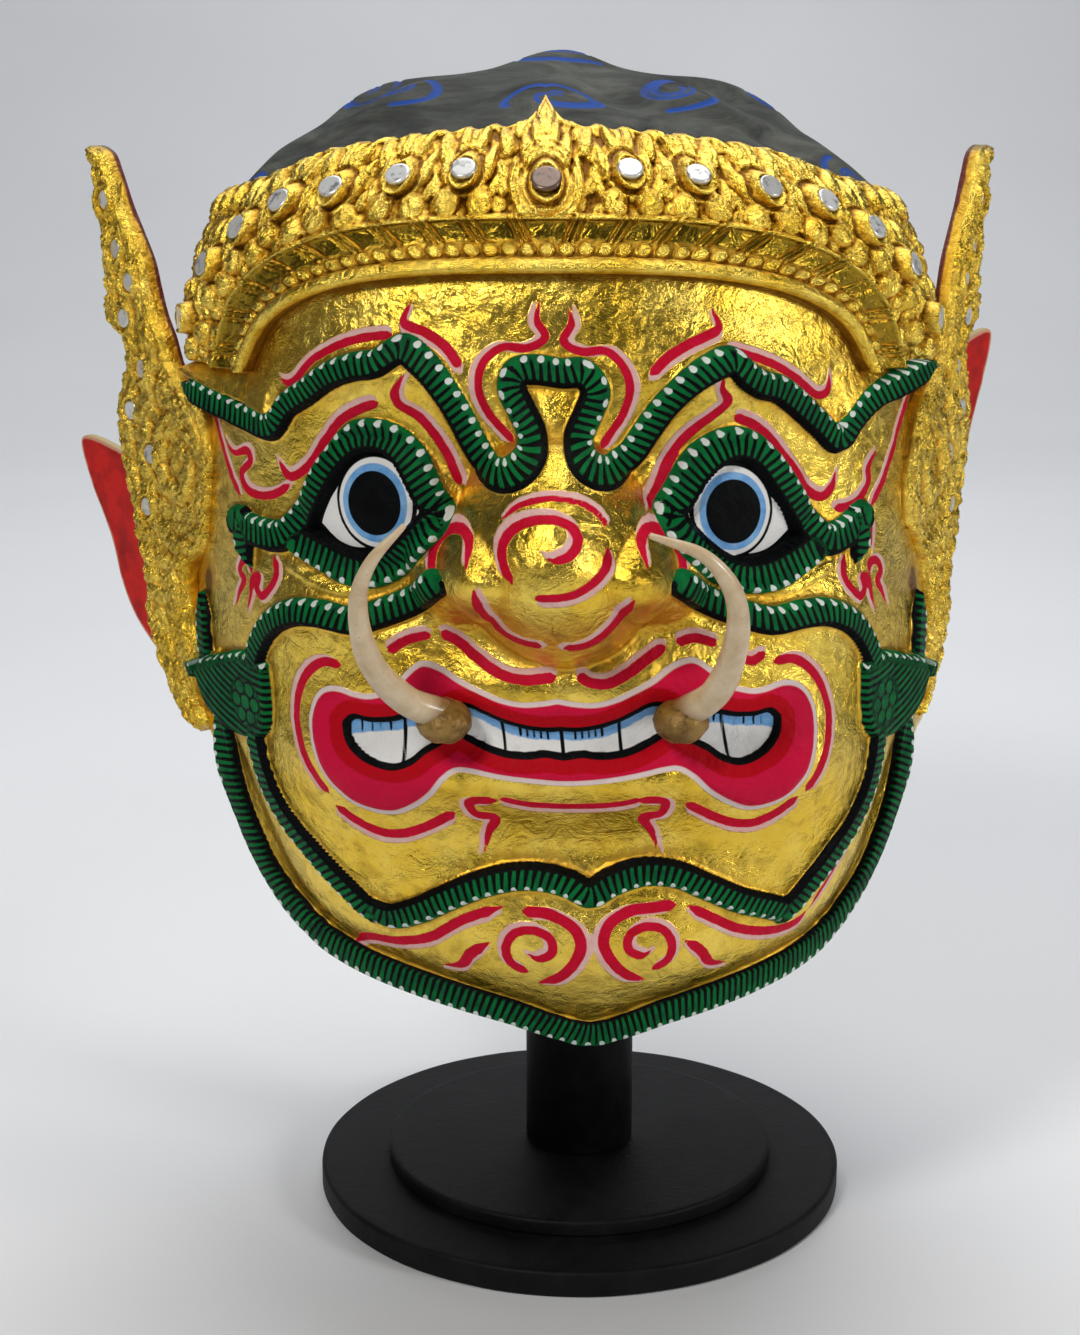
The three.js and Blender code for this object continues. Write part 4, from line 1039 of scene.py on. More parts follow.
# The larger middle leaf
MIDDLE_LUMPS = [
    (0, -1.5, 9.4, 9.6, 0, 3.4), (-5.4, -8.2, 3.8, 4.6, -52, 3.8), (5.4, -8.2, 3.8, 4.6, 52, 3.8),
    (-9.4, 0, 2.4, 6.0, 10, 3.4), (9.4, 0, 2.4, 6.0, -10, 3.4), (-6.0, 7.4, 3.0, 4.8, 30, 4.0),
    (6.0, 7.4, 3.0, 4.8, -30, 4.0), (0, 8.6, 4.6, 5.4, 0, 4.8), (-3.2, 12.2, 2.4, 3.8, 22, 4.6),
    (3.2, 12.2, 2.4, 3.8, -22, 4.6), (0, 16.4, 4.0, 7.6, 0, 5.3),
]


def filler_lumps(seed, low, high, pitch):
    """Small petals on a shaken grid, leaning outward: centre, half sizes, turn in degrees, height."""
    random = np.random.default_rng(seed)
    lumps = []
    for x in np.arange(low[0], high[0], pitch):
        for y in np.arange(low[1], high[1], pitch * 1.15):
            dx, dy, wide, tall, lean, height = random.uniform(-1, 1, 6)
            lean = -38 * np.sign(x) + 18 * lean
            size = (1.9 + 0.5 * wide, 3.1 + 0.7 * tall)
            lumps.append((x + 1.4 * dx, y + 1.4 * dy, *size, lean, 2.0 + 0.7 * height))
    return lumps


def leaf_relief(u, v):
    """The crown's leaves: petals between and about the mirrors, lobes along the top, seats and collars."""
    rise = 3.0 + 0.3 * ripple(u, v, u - v, 7)
    top_lobes = []
    for k in range(13):
        a = 14 + 10.4 * k
        for side in (-1, 1):
            top_lobes.append((side * a, float(crown_top(a)) - 4.6, 2.5, 4.6, -side * 36, 4.4))
    for cx, cy, rx, ry, tilt, height in filler_lumps(5, (-148, 199), (149, 264), 4.3) + top_lobes:
        near = (np.abs(u - cx) < 7) & (np.abs(v - cy) < 7)
        lump = petal(u[near], v[near], cx, cy, rx, ry, tilt, height, 3.0)
        rise[near] = np.maximum(rise[near], lump)
    for mu, mv in CROWN_MIRRORS:
        for side in ((1,) if mu == 0 else (-1, 1)):
            turn = math.radians(side * np.interp(mu, [0, 84, 112, 127], [0, 6, 30, 38]))
            dx, dy = u - side * mu, v - mv
            x = side * (dx * math.cos(turn) - dy * math.sin(turn))
            y = dx * math.sin(turn) + dy * math.cos(turn)
            near = (np.abs(x) < 15) & (np.abs(y) < 26)
            x, y = x[near], y[near]
            leaf = rise[near]
            apart = np.hypot(x, y)
            for cx, cy, rx, ry, tilt, height in MIDDLE_LUMPS if mu == 0 else LEAF_LUMPS:
                lump = petal(x, y, cx, cy, rx, ry, tilt, height, 3.4)
                leaf = np.maximum(leaf, np.where(lump > 3.401, lump, 0))
            radius = CENTRE_MIRROR_RADIUS if mu == 0 else MIRROR_RADIUS
            seat = smooth((radius + 1.5 - apart) / 0.9)
            leaf = leaf * (1 - seat) + MIRROR_SEAT * seat
            angle = np.arctan2(y, x)
            wobble = 0.25 * np.sin(3 * angle + mu) + 0.15 * np.sin(5 * angle + 2 * mu)
            squeeze = np.hypot(x * 1.12, y) + wobble
            leaf += 1.75 * peak((squeeze - radius - 0.45) / 0.7)
            for ring in (2.9, 4.6, 6.4) if mu == 0 else (2.7,):
                leaf += 0.7 * peak((apart - radius - ring) / 0.45)
            rise[near] = leaf
    return rise


def crown_relief(u, v):
    """How far the crown stands out from the head: edge roll, beads, a cove of square tiles, then leaves."""
    out = arch_distance(u, v)
    place = arch_place(u, v)
    roll = 3.0 + 2.8 * half_round((out - 2.2) / 2.1)
    bead_place = (place / BEAD_PITCH + 0.5) % 1 - 0.5
    bead = np.hypot(bead_place * BEAD_PITCH, (out - (ROLL_END + BEAD_END) / 2) * 1.05)
    beads = 3.0 + 1.9 * half_round(bead / 1.95) - 0.5 * peak(bead / 0.7)
    cove = np.clip((out - BEAD_END) / (TILE_END - BEAD_END), 0, 1)
    tile = ((place - 0.3 * (out - BEAD_END)) / TILE_PITCH + 0.5) % 1 - 0.5
    joint = np.abs(np.abs(tile) * TILE_PITCH - TILE_PITCH / 2 + 0.7)
    lines = 0.9 * peak(joint / 0.34) - 0.7 * peak((joint - 0.8) / 0.4)
    tiles = 2.9 + 2.9 * cove**1.5 + lines + 0.5 * np.cos(math.pi * tile) * cove
    tiles += 0.8 * peak((out - TILE_END + 0.5) / 0.5)
    rise = np.where(out < ROLL_END, roll, beads)
    rise = np.where(out > BEAD_END, tiles, rise)
    blend = smooth((out - TILE_END - 0.3) / 0.5)
    leaves = leaf_relief(u, v) + 0.3 * ripple(u, v, u + v, 3.1) + 0.35 * ripple(v, u, u - v, 5.7)
    top = crown_top(np.abs(u)) - v
    rim = 3.6 + 1.2 * half_round((top - 0.6) / 1.0)
    leaves = np.where(top < 1.6, np.maximum(rim, np.minimum(leaves, 6.5)), leaves)
    return rise * (1 - blend) + leaves * blend


def crown_foot(u):
    """Lower edge of the crown: the arch round the forehead or the foot of its legs, whichever is higher."""
    a = np.clip(np.abs(u) / ARCH_HALF, 0, 1)
    return np.maximum(CROWN_FOOT, ARCH_FOOT + ARCH_RISE * (1 - a**ARCH_POWER) ** (1 / ARCH_POWER))


def build_crown(look):
    """The gilded crown's front: its relief between foot and top, with a wall down to the head at each."""
    u = np.linspace(-CROWN_SIDE, CROWN_SIDE, look.crown_columns)[None, :]
    share = np.linspace(0, 1, look.crown_rows)[:, None]
    foot = crown_foot(u)
    top = crown_top(np.abs(u)) - 1.1 * np.abs(np.sin(u * math.pi / 10.3)) * (np.abs(u) > 9)
    v = foot + (top - foot) * share
    u = np.broadcast_to(u, v.shape).copy()
    rise = crown_relief(u, v)
    hollow = np.clip((blurred(rise, 4) - rise) / 0.9 + 0.1, 0, 1)
    out = arch_distance(u, v)
    hollow = np.maximum(hollow, smooth((4.6 - rise) / 1.4) * (out > TILE_END))
    # Painted shade: the tile row becomes the shade field, which turns its cove dark olive as if reflecting
    # the dark room
    tiles = smooth((out - BEAD_END) / 1.2) * smooth((TILE_END - out) / 1.2)
    u, v, rise, hollow, tiles = walled(u, v, rise, hollow, tiles)
    rise[[0, -1]] = -1.0
    # Painted shade: the crown's foot wall is made fully hollow, so it comes out dark where the crown meets
    # the forehead
    hollow[0] = 1.0
    piece = grid_piece("crown_front", head_point(u, v, rise), {"hollow": hollow, "shade": tiles})
    finish_piece(piece, gold_finish(look, "gold_crown", 1.15), "gilded_lacquer", "crown_band")


def build_crown_nape(look):
    """The crown's plain back: a hollowed band between two rolls, with a bead along it."""
    u = np.linspace(CROWN_SIDE - 0.5, 2 * HALF_TURN - CROWN_SIDE + 0.5, 220)[None, :]
    near = folded(u)
    v = CROWN_FOOT + (crown_top(near) - CROWN_FOOT) * np.linspace(0, 1, 60)[:, None]
    u = np.broadcast_to(unrolled(u), v.shape)
    low, high = v - CROWN_FOOT, crown_top(near) - v
    rise = 2.3 + 1.5 * half_round((np.minimum(low, high) - 2.4) / 2.4)
    rise += 0.9 * half_round((low - 8) / 1.6)
    u, v, rise = walled(u, v, rise)
    rise[[0, -1]] = -1.0
    hollow = np.clip((blurred(rise, 3) - rise) / 1.2, 0, 1)
    piece = grid_piece("crown_nape", head_point(u, v, rise), {"hollow": hollow})
    finish_piece(piece, gold_finish(look, "gold_crown_nape", 0.9), "gilded_lacquer", "crown_band")


# Mirrors


def disc_points(middles, normals, radii):
    """Small discs with a rounded rim: rings about each middle, raised along its normal."""
    profile = np.array([[1.0, 0.0], [1.0, 0.7], [0.93, 0.95], [0.8, 1.0]])
    helper = np.where(np.abs(normals[:, 2:]) > 0.9, [[1.0, 0, 0]], [[0, 0, 1.0]])
    across = np.cross(helper, normals)
    across /= np.linalg.norm(across, axis=1, keepdims=True)
    ring = circles(across, np.cross(normals, across), MIRROR_SIDES)
    wide = (radii[:, None] * profile[:, 0])[..., None, None]
    height = MIRROR_THICK * profile[:, 1][None, :, None, None] * normals[:, None, None]
    return middles[:, None, None] + ring[:, None] * wide + height


def build_discs(name, middles, normals, radii, look, nodes):
    """One mesh of several mirror discs, each closed by a middle point above and below."""
    rings = disc_points(middles, normals, radii)
    count, rows, sides = rings.shape[:3]
    vertices = np.concatenate([rings.reshape(-1, 3), middles, middles + MIRROR_THICK * normals])
    index = wrapped(numbered(rings))
    quads = quads_of(index)
    low = count * rows * sides + np.arange(count)[:, None]
    high = low + count
    below = np.stack(np.broadcast_arrays(low, index[:, 0, 1:], index[:, 0, :-1]), -1).reshape(-1, 3)
    above = np.stack(np.broadcast_arrays(high, index[:, -1, :-1], index[:, -1, 1:]), -1).reshape(-1, 3)
    piece = faced_object(name, vertices, quads.tolist() + below.tolist() + above.tolist(), len(quads))
    disc = np.concatenate([np.repeat(np.arange(count), rows * sides), np.arange(count), np.arange(count)])
    tone = np.where(radii[disc] > MIRROR_RADIUS + 0.1, 2.0, (disc * 0.618 + 0.2) % 1)
    layer = piece.data.attributes.new("tone", "FLOAT", "POINT")
    layer.data.foreach_set("value", tone.astype(np.float32))
    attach(piece, "root")
    finish_piece(piece, mirror_finish(look), "mirror_glass", *nodes)


def tilted(normals, seed, most):
    """Normals leaning by small seeded amounts, as hand-set mirrors do."""
    random = np.random.default_rng(seed)
    leaning = normals + most * random.uniform(-1, 1, normals.shape)
    return leaning / np.linalg.norm(leaning, axis=1, keepdims=True)


def build_crown_mirrors(look):
    """The crown's fifteen mirrors, standing on their leaves along the head's normal."""
    places = [(side * u, v) for u, v in CROWN_MIRRORS for side in ((1,) if u == 0 else (-1, 1))]
    u, v = np.array(places, float).T
    normals = head_normal(u, v, MIRROR_SEAT)
    middles = head_point(u, v, MIRROR_SEAT) + GAP * normals
    radii = np.where(u == 0, CENTRE_MIRROR_RADIUS, MIRROR_RADIUS)
    nodes = [f"crown_mirror_{i + 1}" for i in range(len(places))]
    build_discs("crown_mirrors", middles, tilted(normals, 3, 0.07), radii, look, nodes)


# Ear plates and wings


def plate_frame(side, root, turn):
    """Origin of a standing plate, and directions along it, up, and out of its front face."""
    angle = math.radians(turn)
    along = np.array([side * math.cos(angle), math.sin(angle), 0])
    front = np.array([side * math.sin(angle), -math.cos(angle), 0])
    origin = np.array([AXIS_X + side * root[0], root[1], MASK_LIFT])
    return origin, along, np.array([0, 0, 1.0]), front


def plate_rows(outline, heights):
    """Left and right end of a closed outline at each height, from the edges that pass through it."""
    spans, x = crossings(outline, heights[:, None])
    return np.where(spans, x, np.inf).min(1), np.where(spans, x, -np.inf).max(1)


def head_touch(place, heights, left, right):
    """Where each row of a plate leaves the dressed head, so that the plate ends just inside it."""
    origin, along, up, _ = place
    share = np.linspace(0, 1, 60)
    s = left[:, None] + (right - left)[:, None] * share
    spots = origin + s[..., None] * along + heights[:, None, None] * up
    theta = np.arctan2(spots[..., 0] - AXIS_X, -spots[..., 1])
    v = heights[:, None]
    crown = np.where((v > CROWN_FOOT) & (v < crown_top(np.abs(theta) * CHART_RADIUS)), 4.0, 0.5)
    skin = head_point(theta * CHART_RADIUS, v, face_form(theta * CHART_RADIUS, v) + crown)
    reach = np.hypot(skin[..., 0] - AXIS_X, skin[..., 1])
    within = np.hypot(spots[..., 0] - AXIS_X, spots[..., 1]) < reach
    last = np.where(within.any(1), share[59 - within[:, ::-1].argmax(1)], 0)
    return left + (right - left) * np.clip(last - 0.01, 0, 0.97)


def build_plate(name, outline, thick, place, relief, heights, columns, side):
    """A closed standing plate: each row runs along its front, round its edge and back along its rear.

    The front follows the relief function of (length along, height); edges are rounded by a quarter turn.
    """
    low, high = outline[:, 1].min(), outline[:, 1].max()
    rows = np.linspace(low + 0.05, high - 0.05, heights)
    left, right = plate_rows(outline, rows)
    left = np.minimum(head_touch(place, rows, left, right), right - 0.2)
    share = 0.5 - 0.5 * np.cos(np.linspace(0, math.pi, columns))
    share = 0.5 * share + 0.5 * np.linspace(0, 1, columns)
    s = left[:, None] + (right - left)[:, None] * share
    v = np.broadcast_to(rows[:, None], s.shape)
    loop = np.concatenate([outline, outline[:1]])
    edge, _, _ = nearest(s, v, loop, 60)
    rounding = half_round(1 - np.clip(edge / 0.9, 0, 1))
    front_height = relief(s, v, edge) * smooth(edge / 1.2) - 0.9 * (1 - rounding)
    back_height = -thick + 0.6 * (1 - rounding)
    origin, along, up, front = place
    flat = origin + s[..., None] * along + v[..., None] * up
    face = flat + front_height[..., None] * front
    rear = flat + back_height[..., None] * front
    rings = np.concatenate([face, rear[:, ::-1]], 1)
    fields = {}
    hollow = np.clip((blurred(front_height, 3) - front_height) / 0.9, 0, 1)
    for key, ahead, behind in (("hollow", hollow, 0.6), ("edge", edge, edge[:, ::-1]), ("front", 2.3, 0.0)):
        both = [np.broadcast_to(ahead, s.shape), np.broadcast_to(behind, s.shape)]
        grid = np.concatenate(both, 1)
        fields[key] = np.concatenate([grid.ravel(), [grid[0].mean(), grid[-1].mean()]])
    first, last = rings[0].mean(0), rings[-1].mean(0)
    return closed_piece(name, rings, first, last, fields, flip=side < 0)


def ear_relief(s, v, edge):
    """Half-round scrolls over the plate, a raised rim, collars round the mirrors and small wrinkles."""
    rise = 0.1 + 0.35 * ripple(s, v, s - v, 6.5)
    for line, half in EAR_SCROLLS:
        distance, _, _ = nearest(s, v, curve(line))
        groove = 0.25 * peak(distance / 0.5)
        rise = np.maximum(rise, 1.55 * half_round(distance / half) - groove)
    rise = np.maximum(rise, 1.15 * peak((edge - 1.6) / 0.9))
    for cx, cy, rx, ry, tilt, height in filler_lumps(11, (-4, 90), (60, 256), 4.6):
        near = (np.abs(s - cx) < 7) & (np.abs(v - cy) < 7)
        rise[near] += petal(s[near], v[near], cx, cy, rx, ry, tilt, 0.42 * height)
    rise = rise + 0.45 * ripple(s, v, v + s, 4.3) + 0.28 * ripple(v, s, s - v, 2.6)
    rise = np.minimum(rise, 2.6)
    for x, y in EAR_MIRRORS:
        apart = np.hypot(s - x, v - y)
        seat = smooth((EAR_MIRROR_RADIUS + 1.2 - apart) / 1.0)
        rise = rise * (1 - seat) + 0.1 * seat
        rise = rise + 1.25 * peak((apart - EAR_MIRROR_RADIUS - 0.95) / 0.7)
    return rise


def build_ears(look):
    """The two gilded ear flames with their mirrors."""
    outline = curve(EAR_OUTLINE, 0.7, closed=True)
    for side, name, turn, _, _ in EAR_SIDES:
        place = plate_frame(side, EAR_ROOT, turn)
        piece = build_plate(f"ear_gilding_{name}", outline, EAR_THICK, place, ear_relief, 330, 74, side)
        finish_piece(piece, ear_finish(look, name), "gilded_leather", f"ear_flame_{name}")
        origin, along, up, front = place
        spots = np.array(EAR_MIRRORS, float)
        middles = origin + spots[:, :1] * along + spots[:, 1:] * up + GAP * front
        normals = tilted(np.tile(front, (len(spots), 1)), 7 + side, 0.1)
        nodes = [f"ear_mirror_{name}_{i + 1}" for i in range(len(spots))]
        radii = np.full(len(spots), EAR_MIRROR_RADIUS)
        build_discs(f"ear_mirrors_{name}", middles, normals, radii, look, nodes)


def wing_relief(s, v, edge):
    """The leather's slight hand-cut waves."""
    return 0.15 * ripple(s, v, s + v, 17)


def build_wings(look):
    """The red leather flames behind the ears."""
    for side, name, _, lift, reach in EAR_SIDES:
        place = plate_frame(side, WING_ROOT, WING_TURN)
        outline = curve([[s * reach * 0.996, v + lift] for s, v in WING_OUTLINE], 0.7, closed=True)
        piece = build_plate(f"wing_leather_{name}", outline, WING_THICK, place, wing_relief, 120, 60, side)
        finish_piece(piece, wing_finish(look, name), "red_leather", f"ear_wing_{name}")


# Tusks


def build_tusks(look):
    """Tusks: round tubes along a smooth path, thinning as a power of its length, in their lumpy sockets."""
    for side, name, _, _, _ in EAR_SIDES:
        path = np.array([[AXIS_X + side * x, y, MASK_LIFT + v] for x, y, v in TUSK_PATHS[name]], float)
        line = curve(path, 0.7)
        t = np.linspace(0, 1, len(line))
        along = np.gradient(line, axis=0)
        along /= np.linalg.norm(along, axis=1, keepdims=True)
        across = np.cross([0, 1.0, 0], along)
        across /= np.linalg.norm(across, axis=1, keepdims=True)
        radius = TUSK_RADIUS * (1 - 0.82 * t**1.6) * (0.955 + 0.015 * np.sin(31 * t))
        rings = line[:, None] + radius[:, None, None] * circles(across, np.cross(along, across), TUSK_SIDES)
        fields = {"root": np.append(np.repeat(t, TUSK_SIDES), [0, 1])}
        piece = closed_piece(f"tusk_ivory_{name}", rings, line[0], line[-1] + 0.4 * along[-1], fields)
        finish_piece(piece, tusk_finish(look, name), "tusk_ivory", f"tusk_{name}")
        build_socket(look, side, name)


def build_socket(look, side, name):
    """A lump of lacquer round a tusk's root: an ellipsoid with a wandering surface."""
    x, y, v = TUSK_ROOT
    middle = np.array([AXIS_X + side * x, y + 1, MASK_LIFT + v - 2])
    lift = np.linspace(-math.pi / 2, math.pi / 2, 40)[1:-1][:, None]
    turn = np.linspace(0, 2 * math.pi, 57)[:-1][None, :]
    level = np.cos(lift)
    unit = np.stack(np.broadcast_arrays(level * np.cos(turn), level * np.sin(turn), np.sin(lift)), -1)
    size = SOCKET_RADIUS * (1 + 0.05 * ripple(*np.moveaxis(unit * 9, -1, 0), 8))
    rings = middle + size[..., None] * unit * [1.0, 1.1, 0.8]
    tall = SOCKET_RADIUS * 0.8
    piece = closed_piece(f"socket_lump_{name}", rings, middle - [0, 0, tall], middle + [0, 0, tall])
    finish_piece(piece, socket_finish(look, name), "socket_lacquer", f"tusk_socket_{name}")


# Stand


def turned(name, profile, wobble=0.0):
    """A turned piece: its (radius, height) profile carried round the upright axis and closed."""
    profile = np.array(profile, float)
    angle = np.linspace(0, 2 * math.pi, 181)[:-1]
    radius = profile[:, :1] + wobble * (profile[:, :1] > 0.95 * profile[:, 0].max()) * (
        np.sin(3 * angle + 1) + 0.6 * np.sin(7 * angle) + 0.35 * np.sin(17 * angle + 2)
    )
    height = np.broadcast_to(profile[:, 1:], radius.shape)
    rings = np.stack([radius * np.cos(angle), radius * np.sin(angle), height], -1)
    first, last = [0, 0, profile[0, 1]], [0, 0, profile[-1, 1]]
    return closed_piece(name, rings, first, last)


def disc_profile(radius, low, high, soft):
    """Profile of a disc with edges rounded by quarter circles."""
    arc = np.linspace(0, math.pi / 2, 6)
    below = [(radius - 0.6 + 0.6 * math.sin(a), low + 0.6 - 0.6 * math.cos(a)) for a in arc]
    above = [(radius - soft + soft * math.cos(a), high - soft + soft * math.sin(a)) for a in arc]
    return [(radius * 0.6, low)] + below + above + [(radius * 0.96, high), (radius * 0.6, high)]


def build_stand(look):
    """The black stand: round foot, smaller disc on it, and the post up into the mask."""
    base = turned("stand_foot", disc_profile(BASE_RADIUS - 0.35, 0, BASE_THICK, 1.4), 0.16)
    step_low = BASE_THICK + GAP
    step = turned("stand_disc", disc_profile(STEP_RADIUS - 0.3, step_low, step_low + STEP_THICK, 1.2), 0.14)
    low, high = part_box("stand_post")
    shaft = [
        (POST_RADIUS - 0.5, low.z / MM), (POST_RADIUS, low.z / MM + 0.5), (POST_RADIUS, 120),
        (POST_RADIUS, 220), (POST_RADIUS, high.z / MM - 4), (POST_RADIUS - 1.5, high.z / MM - 2.5),
    ]
    post = turned("stand_shaft", shaft)
    material = stand_finish(look)
    for piece, node in ((base, "stand_base"), (step, "stand_step"), (post, "stand_post")):
        finish_piece(piece, material, "black_wood", node)


# Materials

# Colours of wear and dirt
CRACK_BROWN = (0.16, 0.07, 0.012)
PUPIL_BLACK = (0.0015, 0.0015, 0.0015)
TORN_PAPER = (0.05, 0.03, 0.018)
LACQUER_RED = (0.20, 0.010, 0.007)
LACQUER_RED_DARK = (0.06, 0.006, 0.005)
TARNISH = (0.06, 0.035, 0.012)
SCRAPED_LEATHER = (0.62, 0.34, 0.22)
CUT_LEATHER = (0.42, 0.33, 0.17)
ROOT_BROWN = (0.24, 0.13, 0.045)
IVORY_SPECK = (0.35, 0.24, 0.12)
DIMPLE_BROWN = (0.06, 0.03, 0.01)
MIRROR_COPPER = (0.16, 0.10, 0.075)
MIRROR_SPOT = (0.07, 0.065, 0.055)
FLOOR_SHADE = (0.70, 0.71, 0.73)


class Value:
    """A number that varies over a surface. Arithmetic on it adds Math nodes."""

    def __init__(self, finish, socket):
        self.finish = finish
        self.socket = socket

    def __add__(self, other):
        return self.finish.math("ADD", self, other)

    __radd__ = __add__

    def __sub__(self, other):
        return self.finish.math("SUBTRACT", self, other)

    def __rsub__(self, other):
        return self.finish.math("SUBTRACT", other, self)

    def __mul__(self, other):
        return self.finish.math("MULTIPLY", self, other)

    __rmul__ = __mul__

    def __abs__(self):
        return self.finish.math("ABSOLUTE", self)

    def least(self, other):
        return self.finish.math("MINIMUM", self, other)

    def most(self, other):
        return self.finish.math("MAXIMUM", self, other)

    def fraction(self):
        return self.finish.math("FRACT", self)

    def clamp(self):
        return self.finish.math("ADD", self, 0.0, clamp=True)

    def under(self, edge, soft):
        """1 where the value is below the edge, fading over soft."""
        return self.finish.math("ADD", (edge - self) * (1 / soft), 0.5, clamp=True)

    def over(self, edge, soft):
        """1 where the value is above the edge, fading over soft."""
        return self.finish.math("ADD", (self - edge) * (1 / soft), 0.5, clamp=True)


class Finish:
    """A material being mixed: its node tree and the few ways in which the finishes here add to it."""

    def __init__(self, name):
        self.material = bpy.data.materials.new(name)
        self.material.use_nodes = True
        self.tree = self.material.node_tree
        self.tree.nodes.clear()
        self.place = self.node("ShaderNodeTexCoord").outputs["Object"]

    def node(self, kind, settings=None, sockets=None):
        """A node of a type, with its settings set first and then its sockets fed with values or links."""
        made = self.tree.nodes.new(kind)
        for key, value in (settings or {}).items():
            setattr(made, key, value)
        for key, value in (sockets or {}).items():
            if isinstance(value, Value):
                value = value.socket
            if isinstance(value, bpy.types.NodeSocket):
                self.tree.links.new(value, made.inputs[key])
            else:
                made.inputs[key].default_value = value
        return made

    def math(self, operation, first, second=None, clamp=False):
        sockets = {0: first} if second is None else {0: first, 1: second}
        made = self.node("ShaderNodeMath", {"operation": operation, "use_clamp": clamp}, sockets)
        return Value(self, made.outputs[0])

    def field(self, name):
        """One of the mesh's own fields."""
        return Value(self, self.node("ShaderNodeAttribute", {"attribute_name": name}).outputs["Fac"])

    def noise(self, scale, detail=3.0, rough=0.55, distortion=0.0, place=None):
        sockets = {"Vector": place or self.place, "Scale": scale, "Detail": detail, "Roughness": rough,
                   "Distortion": distortion}
        return Value(self, self.node("ShaderNodeTexNoise", None, sockets).outputs[0])

    def cracks(self, scale, place=None):
        """Distance to the edges of a cell pattern."""
        sockets = {"Vector": place or self.place, "Scale": scale}
        made = self.node("ShaderNodeTexVoronoi", {"feature": "DISTANCE_TO_EDGE"}, sockets)
        return Value(self, made.outputs["Distance"])

    def stretched(self, scale):
        """Object coordinates scaled along each axis."""
        made = self.node("ShaderNodeMapping", None, {"Vector": self.place, "Scale": scale})
        return made.outputs[0]

    def mix(self, factor, first, second):
        """From the first colour to the second by a factor. A colour is a socket or three numbers."""
        ends = [end if isinstance(end, bpy.types.NodeSocket) else (*end, 1.0) for end in (first, second)]
        made = self.node("ShaderNodeMix", {"data_type": "RGBA"}, {0: factor, 6: ends[0], 7: ends[1]})
        return made.outputs[2]

    def bump(self, height, distance, strength=1.0, before=None):
        sockets = {"Height": height, "Distance": distance, "Strength": strength}
        if before is not None:
            sockets["Normal"] = before
        return self.node("ShaderNodeBump", None, sockets).outputs[0]

    def surface(self, **sockets):
        """Ends the material in one Principled shader; names use _ for the spaces of its sockets."""
        named = {key.replace("_", " "): value for key, value in sockets.items()}
        shader = self.node("ShaderNodeBsdfPrincipled", None, named)
        self.node("ShaderNodeOutputMaterial", None, {"Surface": shader.outputs[0]})
        return self.material


def gilt(finish, look, hollow, wrinkle):
    """Gold leaf's colour, roughness and normal: burnished patches, painted dark reflections, crumples and
    brown toner in hollows.
    """
    patch = finish.noise(55, 5, 0.6, 0.4)
    crumple = finish.noise(330, 6, 0.68, 1.2)
    grain = finish.noise(1500, 3, 0.6)
    brushed = finish.noise(700, 4, 0.6, place=finish.stretched((1.0, 1.0, 0.18)))
    colour = finish.mix(patch.over(0.5, 0.3), look.gold, look.pale_gold)
    # Painted shade: where a piece has a shade field, as on the crown's tile row, the leaf turns dark olive
    dull = finish.field("shade")
    # Painted reflection: dark olive patches at random stand in for the dark room mirrored in the leaf
    shade = finish.noise(120, 5, 0.65, 0.9).over(0.57, 0.14) * 0.42
    colour = finish.mix(shade.most(dull), colour, look.reflection_olive)
    # Toner in hollows; where the hollow field also holds painted shade, toner and deep toner paint that
    # shade
    worn = (hollow + (crumple - 0.5) * 0.9 + (patch - 0.5) * 0.5).over(0.45, 0.5)
    colour = finish.mix(worn * 0.85, colour, look.toner)
    deep = (hollow + (crumple - 0.5) * 0.5).over(0.85, 0.3)
    colour = finish.mix(deep * 0.85, colour, look.deep_toner_and_shade)
    rough = 0.12 + 0.16 * patch + 0.18 * worn + 0.08 * brushed
    relief = (crumple * 0.6 + grain * 0.12 + brushed * 0.16) * (1 - 0.75 * dull)
    normal = finish.bump(relief, 0.0013 * wrinkle, 0.6)
    normal = finish.bump(finish.noise(130, 4, 0.62, 0.9), 0.003 * wrinkle, 0.5, normal)
    return colour, rough, normal


def gold_finish(look, name, wrinkle):
    """Gilded relief with toner left in its hollows, painted dark reflections and, on the crown, painted
    shade.
    """
    finish = Finish(name)
    colour, rough, normal = gilt(finish, look, finish.field("hollow") + 0.05, wrinkle)
    return finish.surface(Base_Color=colour, Roughness=rough, Metallic=1.0, Normal=normal)


def stroke_paint(finish, look, colour, brush, wander):
    """Red strokes on their pale edges, laid over a colour, and where they cover it."""
    pale_on = (finish.field("pale") + wander).under(0.15, 0.35)
    colour = finish.mix(pale_on * 0.92, colour, finish.mix(brush, look.pale_pink, look.pink))
    red_on = (finish.field("red") + wander).under(0.05, 0.22)
    red_tone = finish.mix((brush * 1.6 - 0.3).clamp(), look.crimson, look.rose)
    return finish.mix(red_on, colour, red_tone), pale_on.most(red_on)


def mouth_paint(finish, look, colour, brush, wander):
    """Lips with a pale outline, rose outside and crimson inside, and black-edged teeth, blue above."""
    lip, opening, tooth_depth, ink = map(finish.field, ("lip", "opening", "tooth", "ink"))
    lips_on = lip.under(0.7, 0.25)
    lip_tone = finish.mix((opening + wander).under(4.6, 0.5), look.rose, look.crimson)
    lip_tone = finish.mix(lip.over(-0.75, 0.35), lip_tone, look.pale_pink)
    colour = finish.mix(lips_on, colour, lip_tone)
    blue_edge = (tooth_depth + wander * 2.5).under(look.tooth_blue / MM, 0.5)
    tooth = finish.mix(blue_edge, look.white, finish.mix(brush, look.pale_blue, look.blue))
    colour = finish.mix(opening.under(1.0, 0.25), colour, look.black)
    colour = finish.mix(opening.under(-0.75, 0.2), colour, tooth)
    return finish.mix(ink.under(0, 0.2) * opening.under(0, 0.2), colour, look.black), lips_on


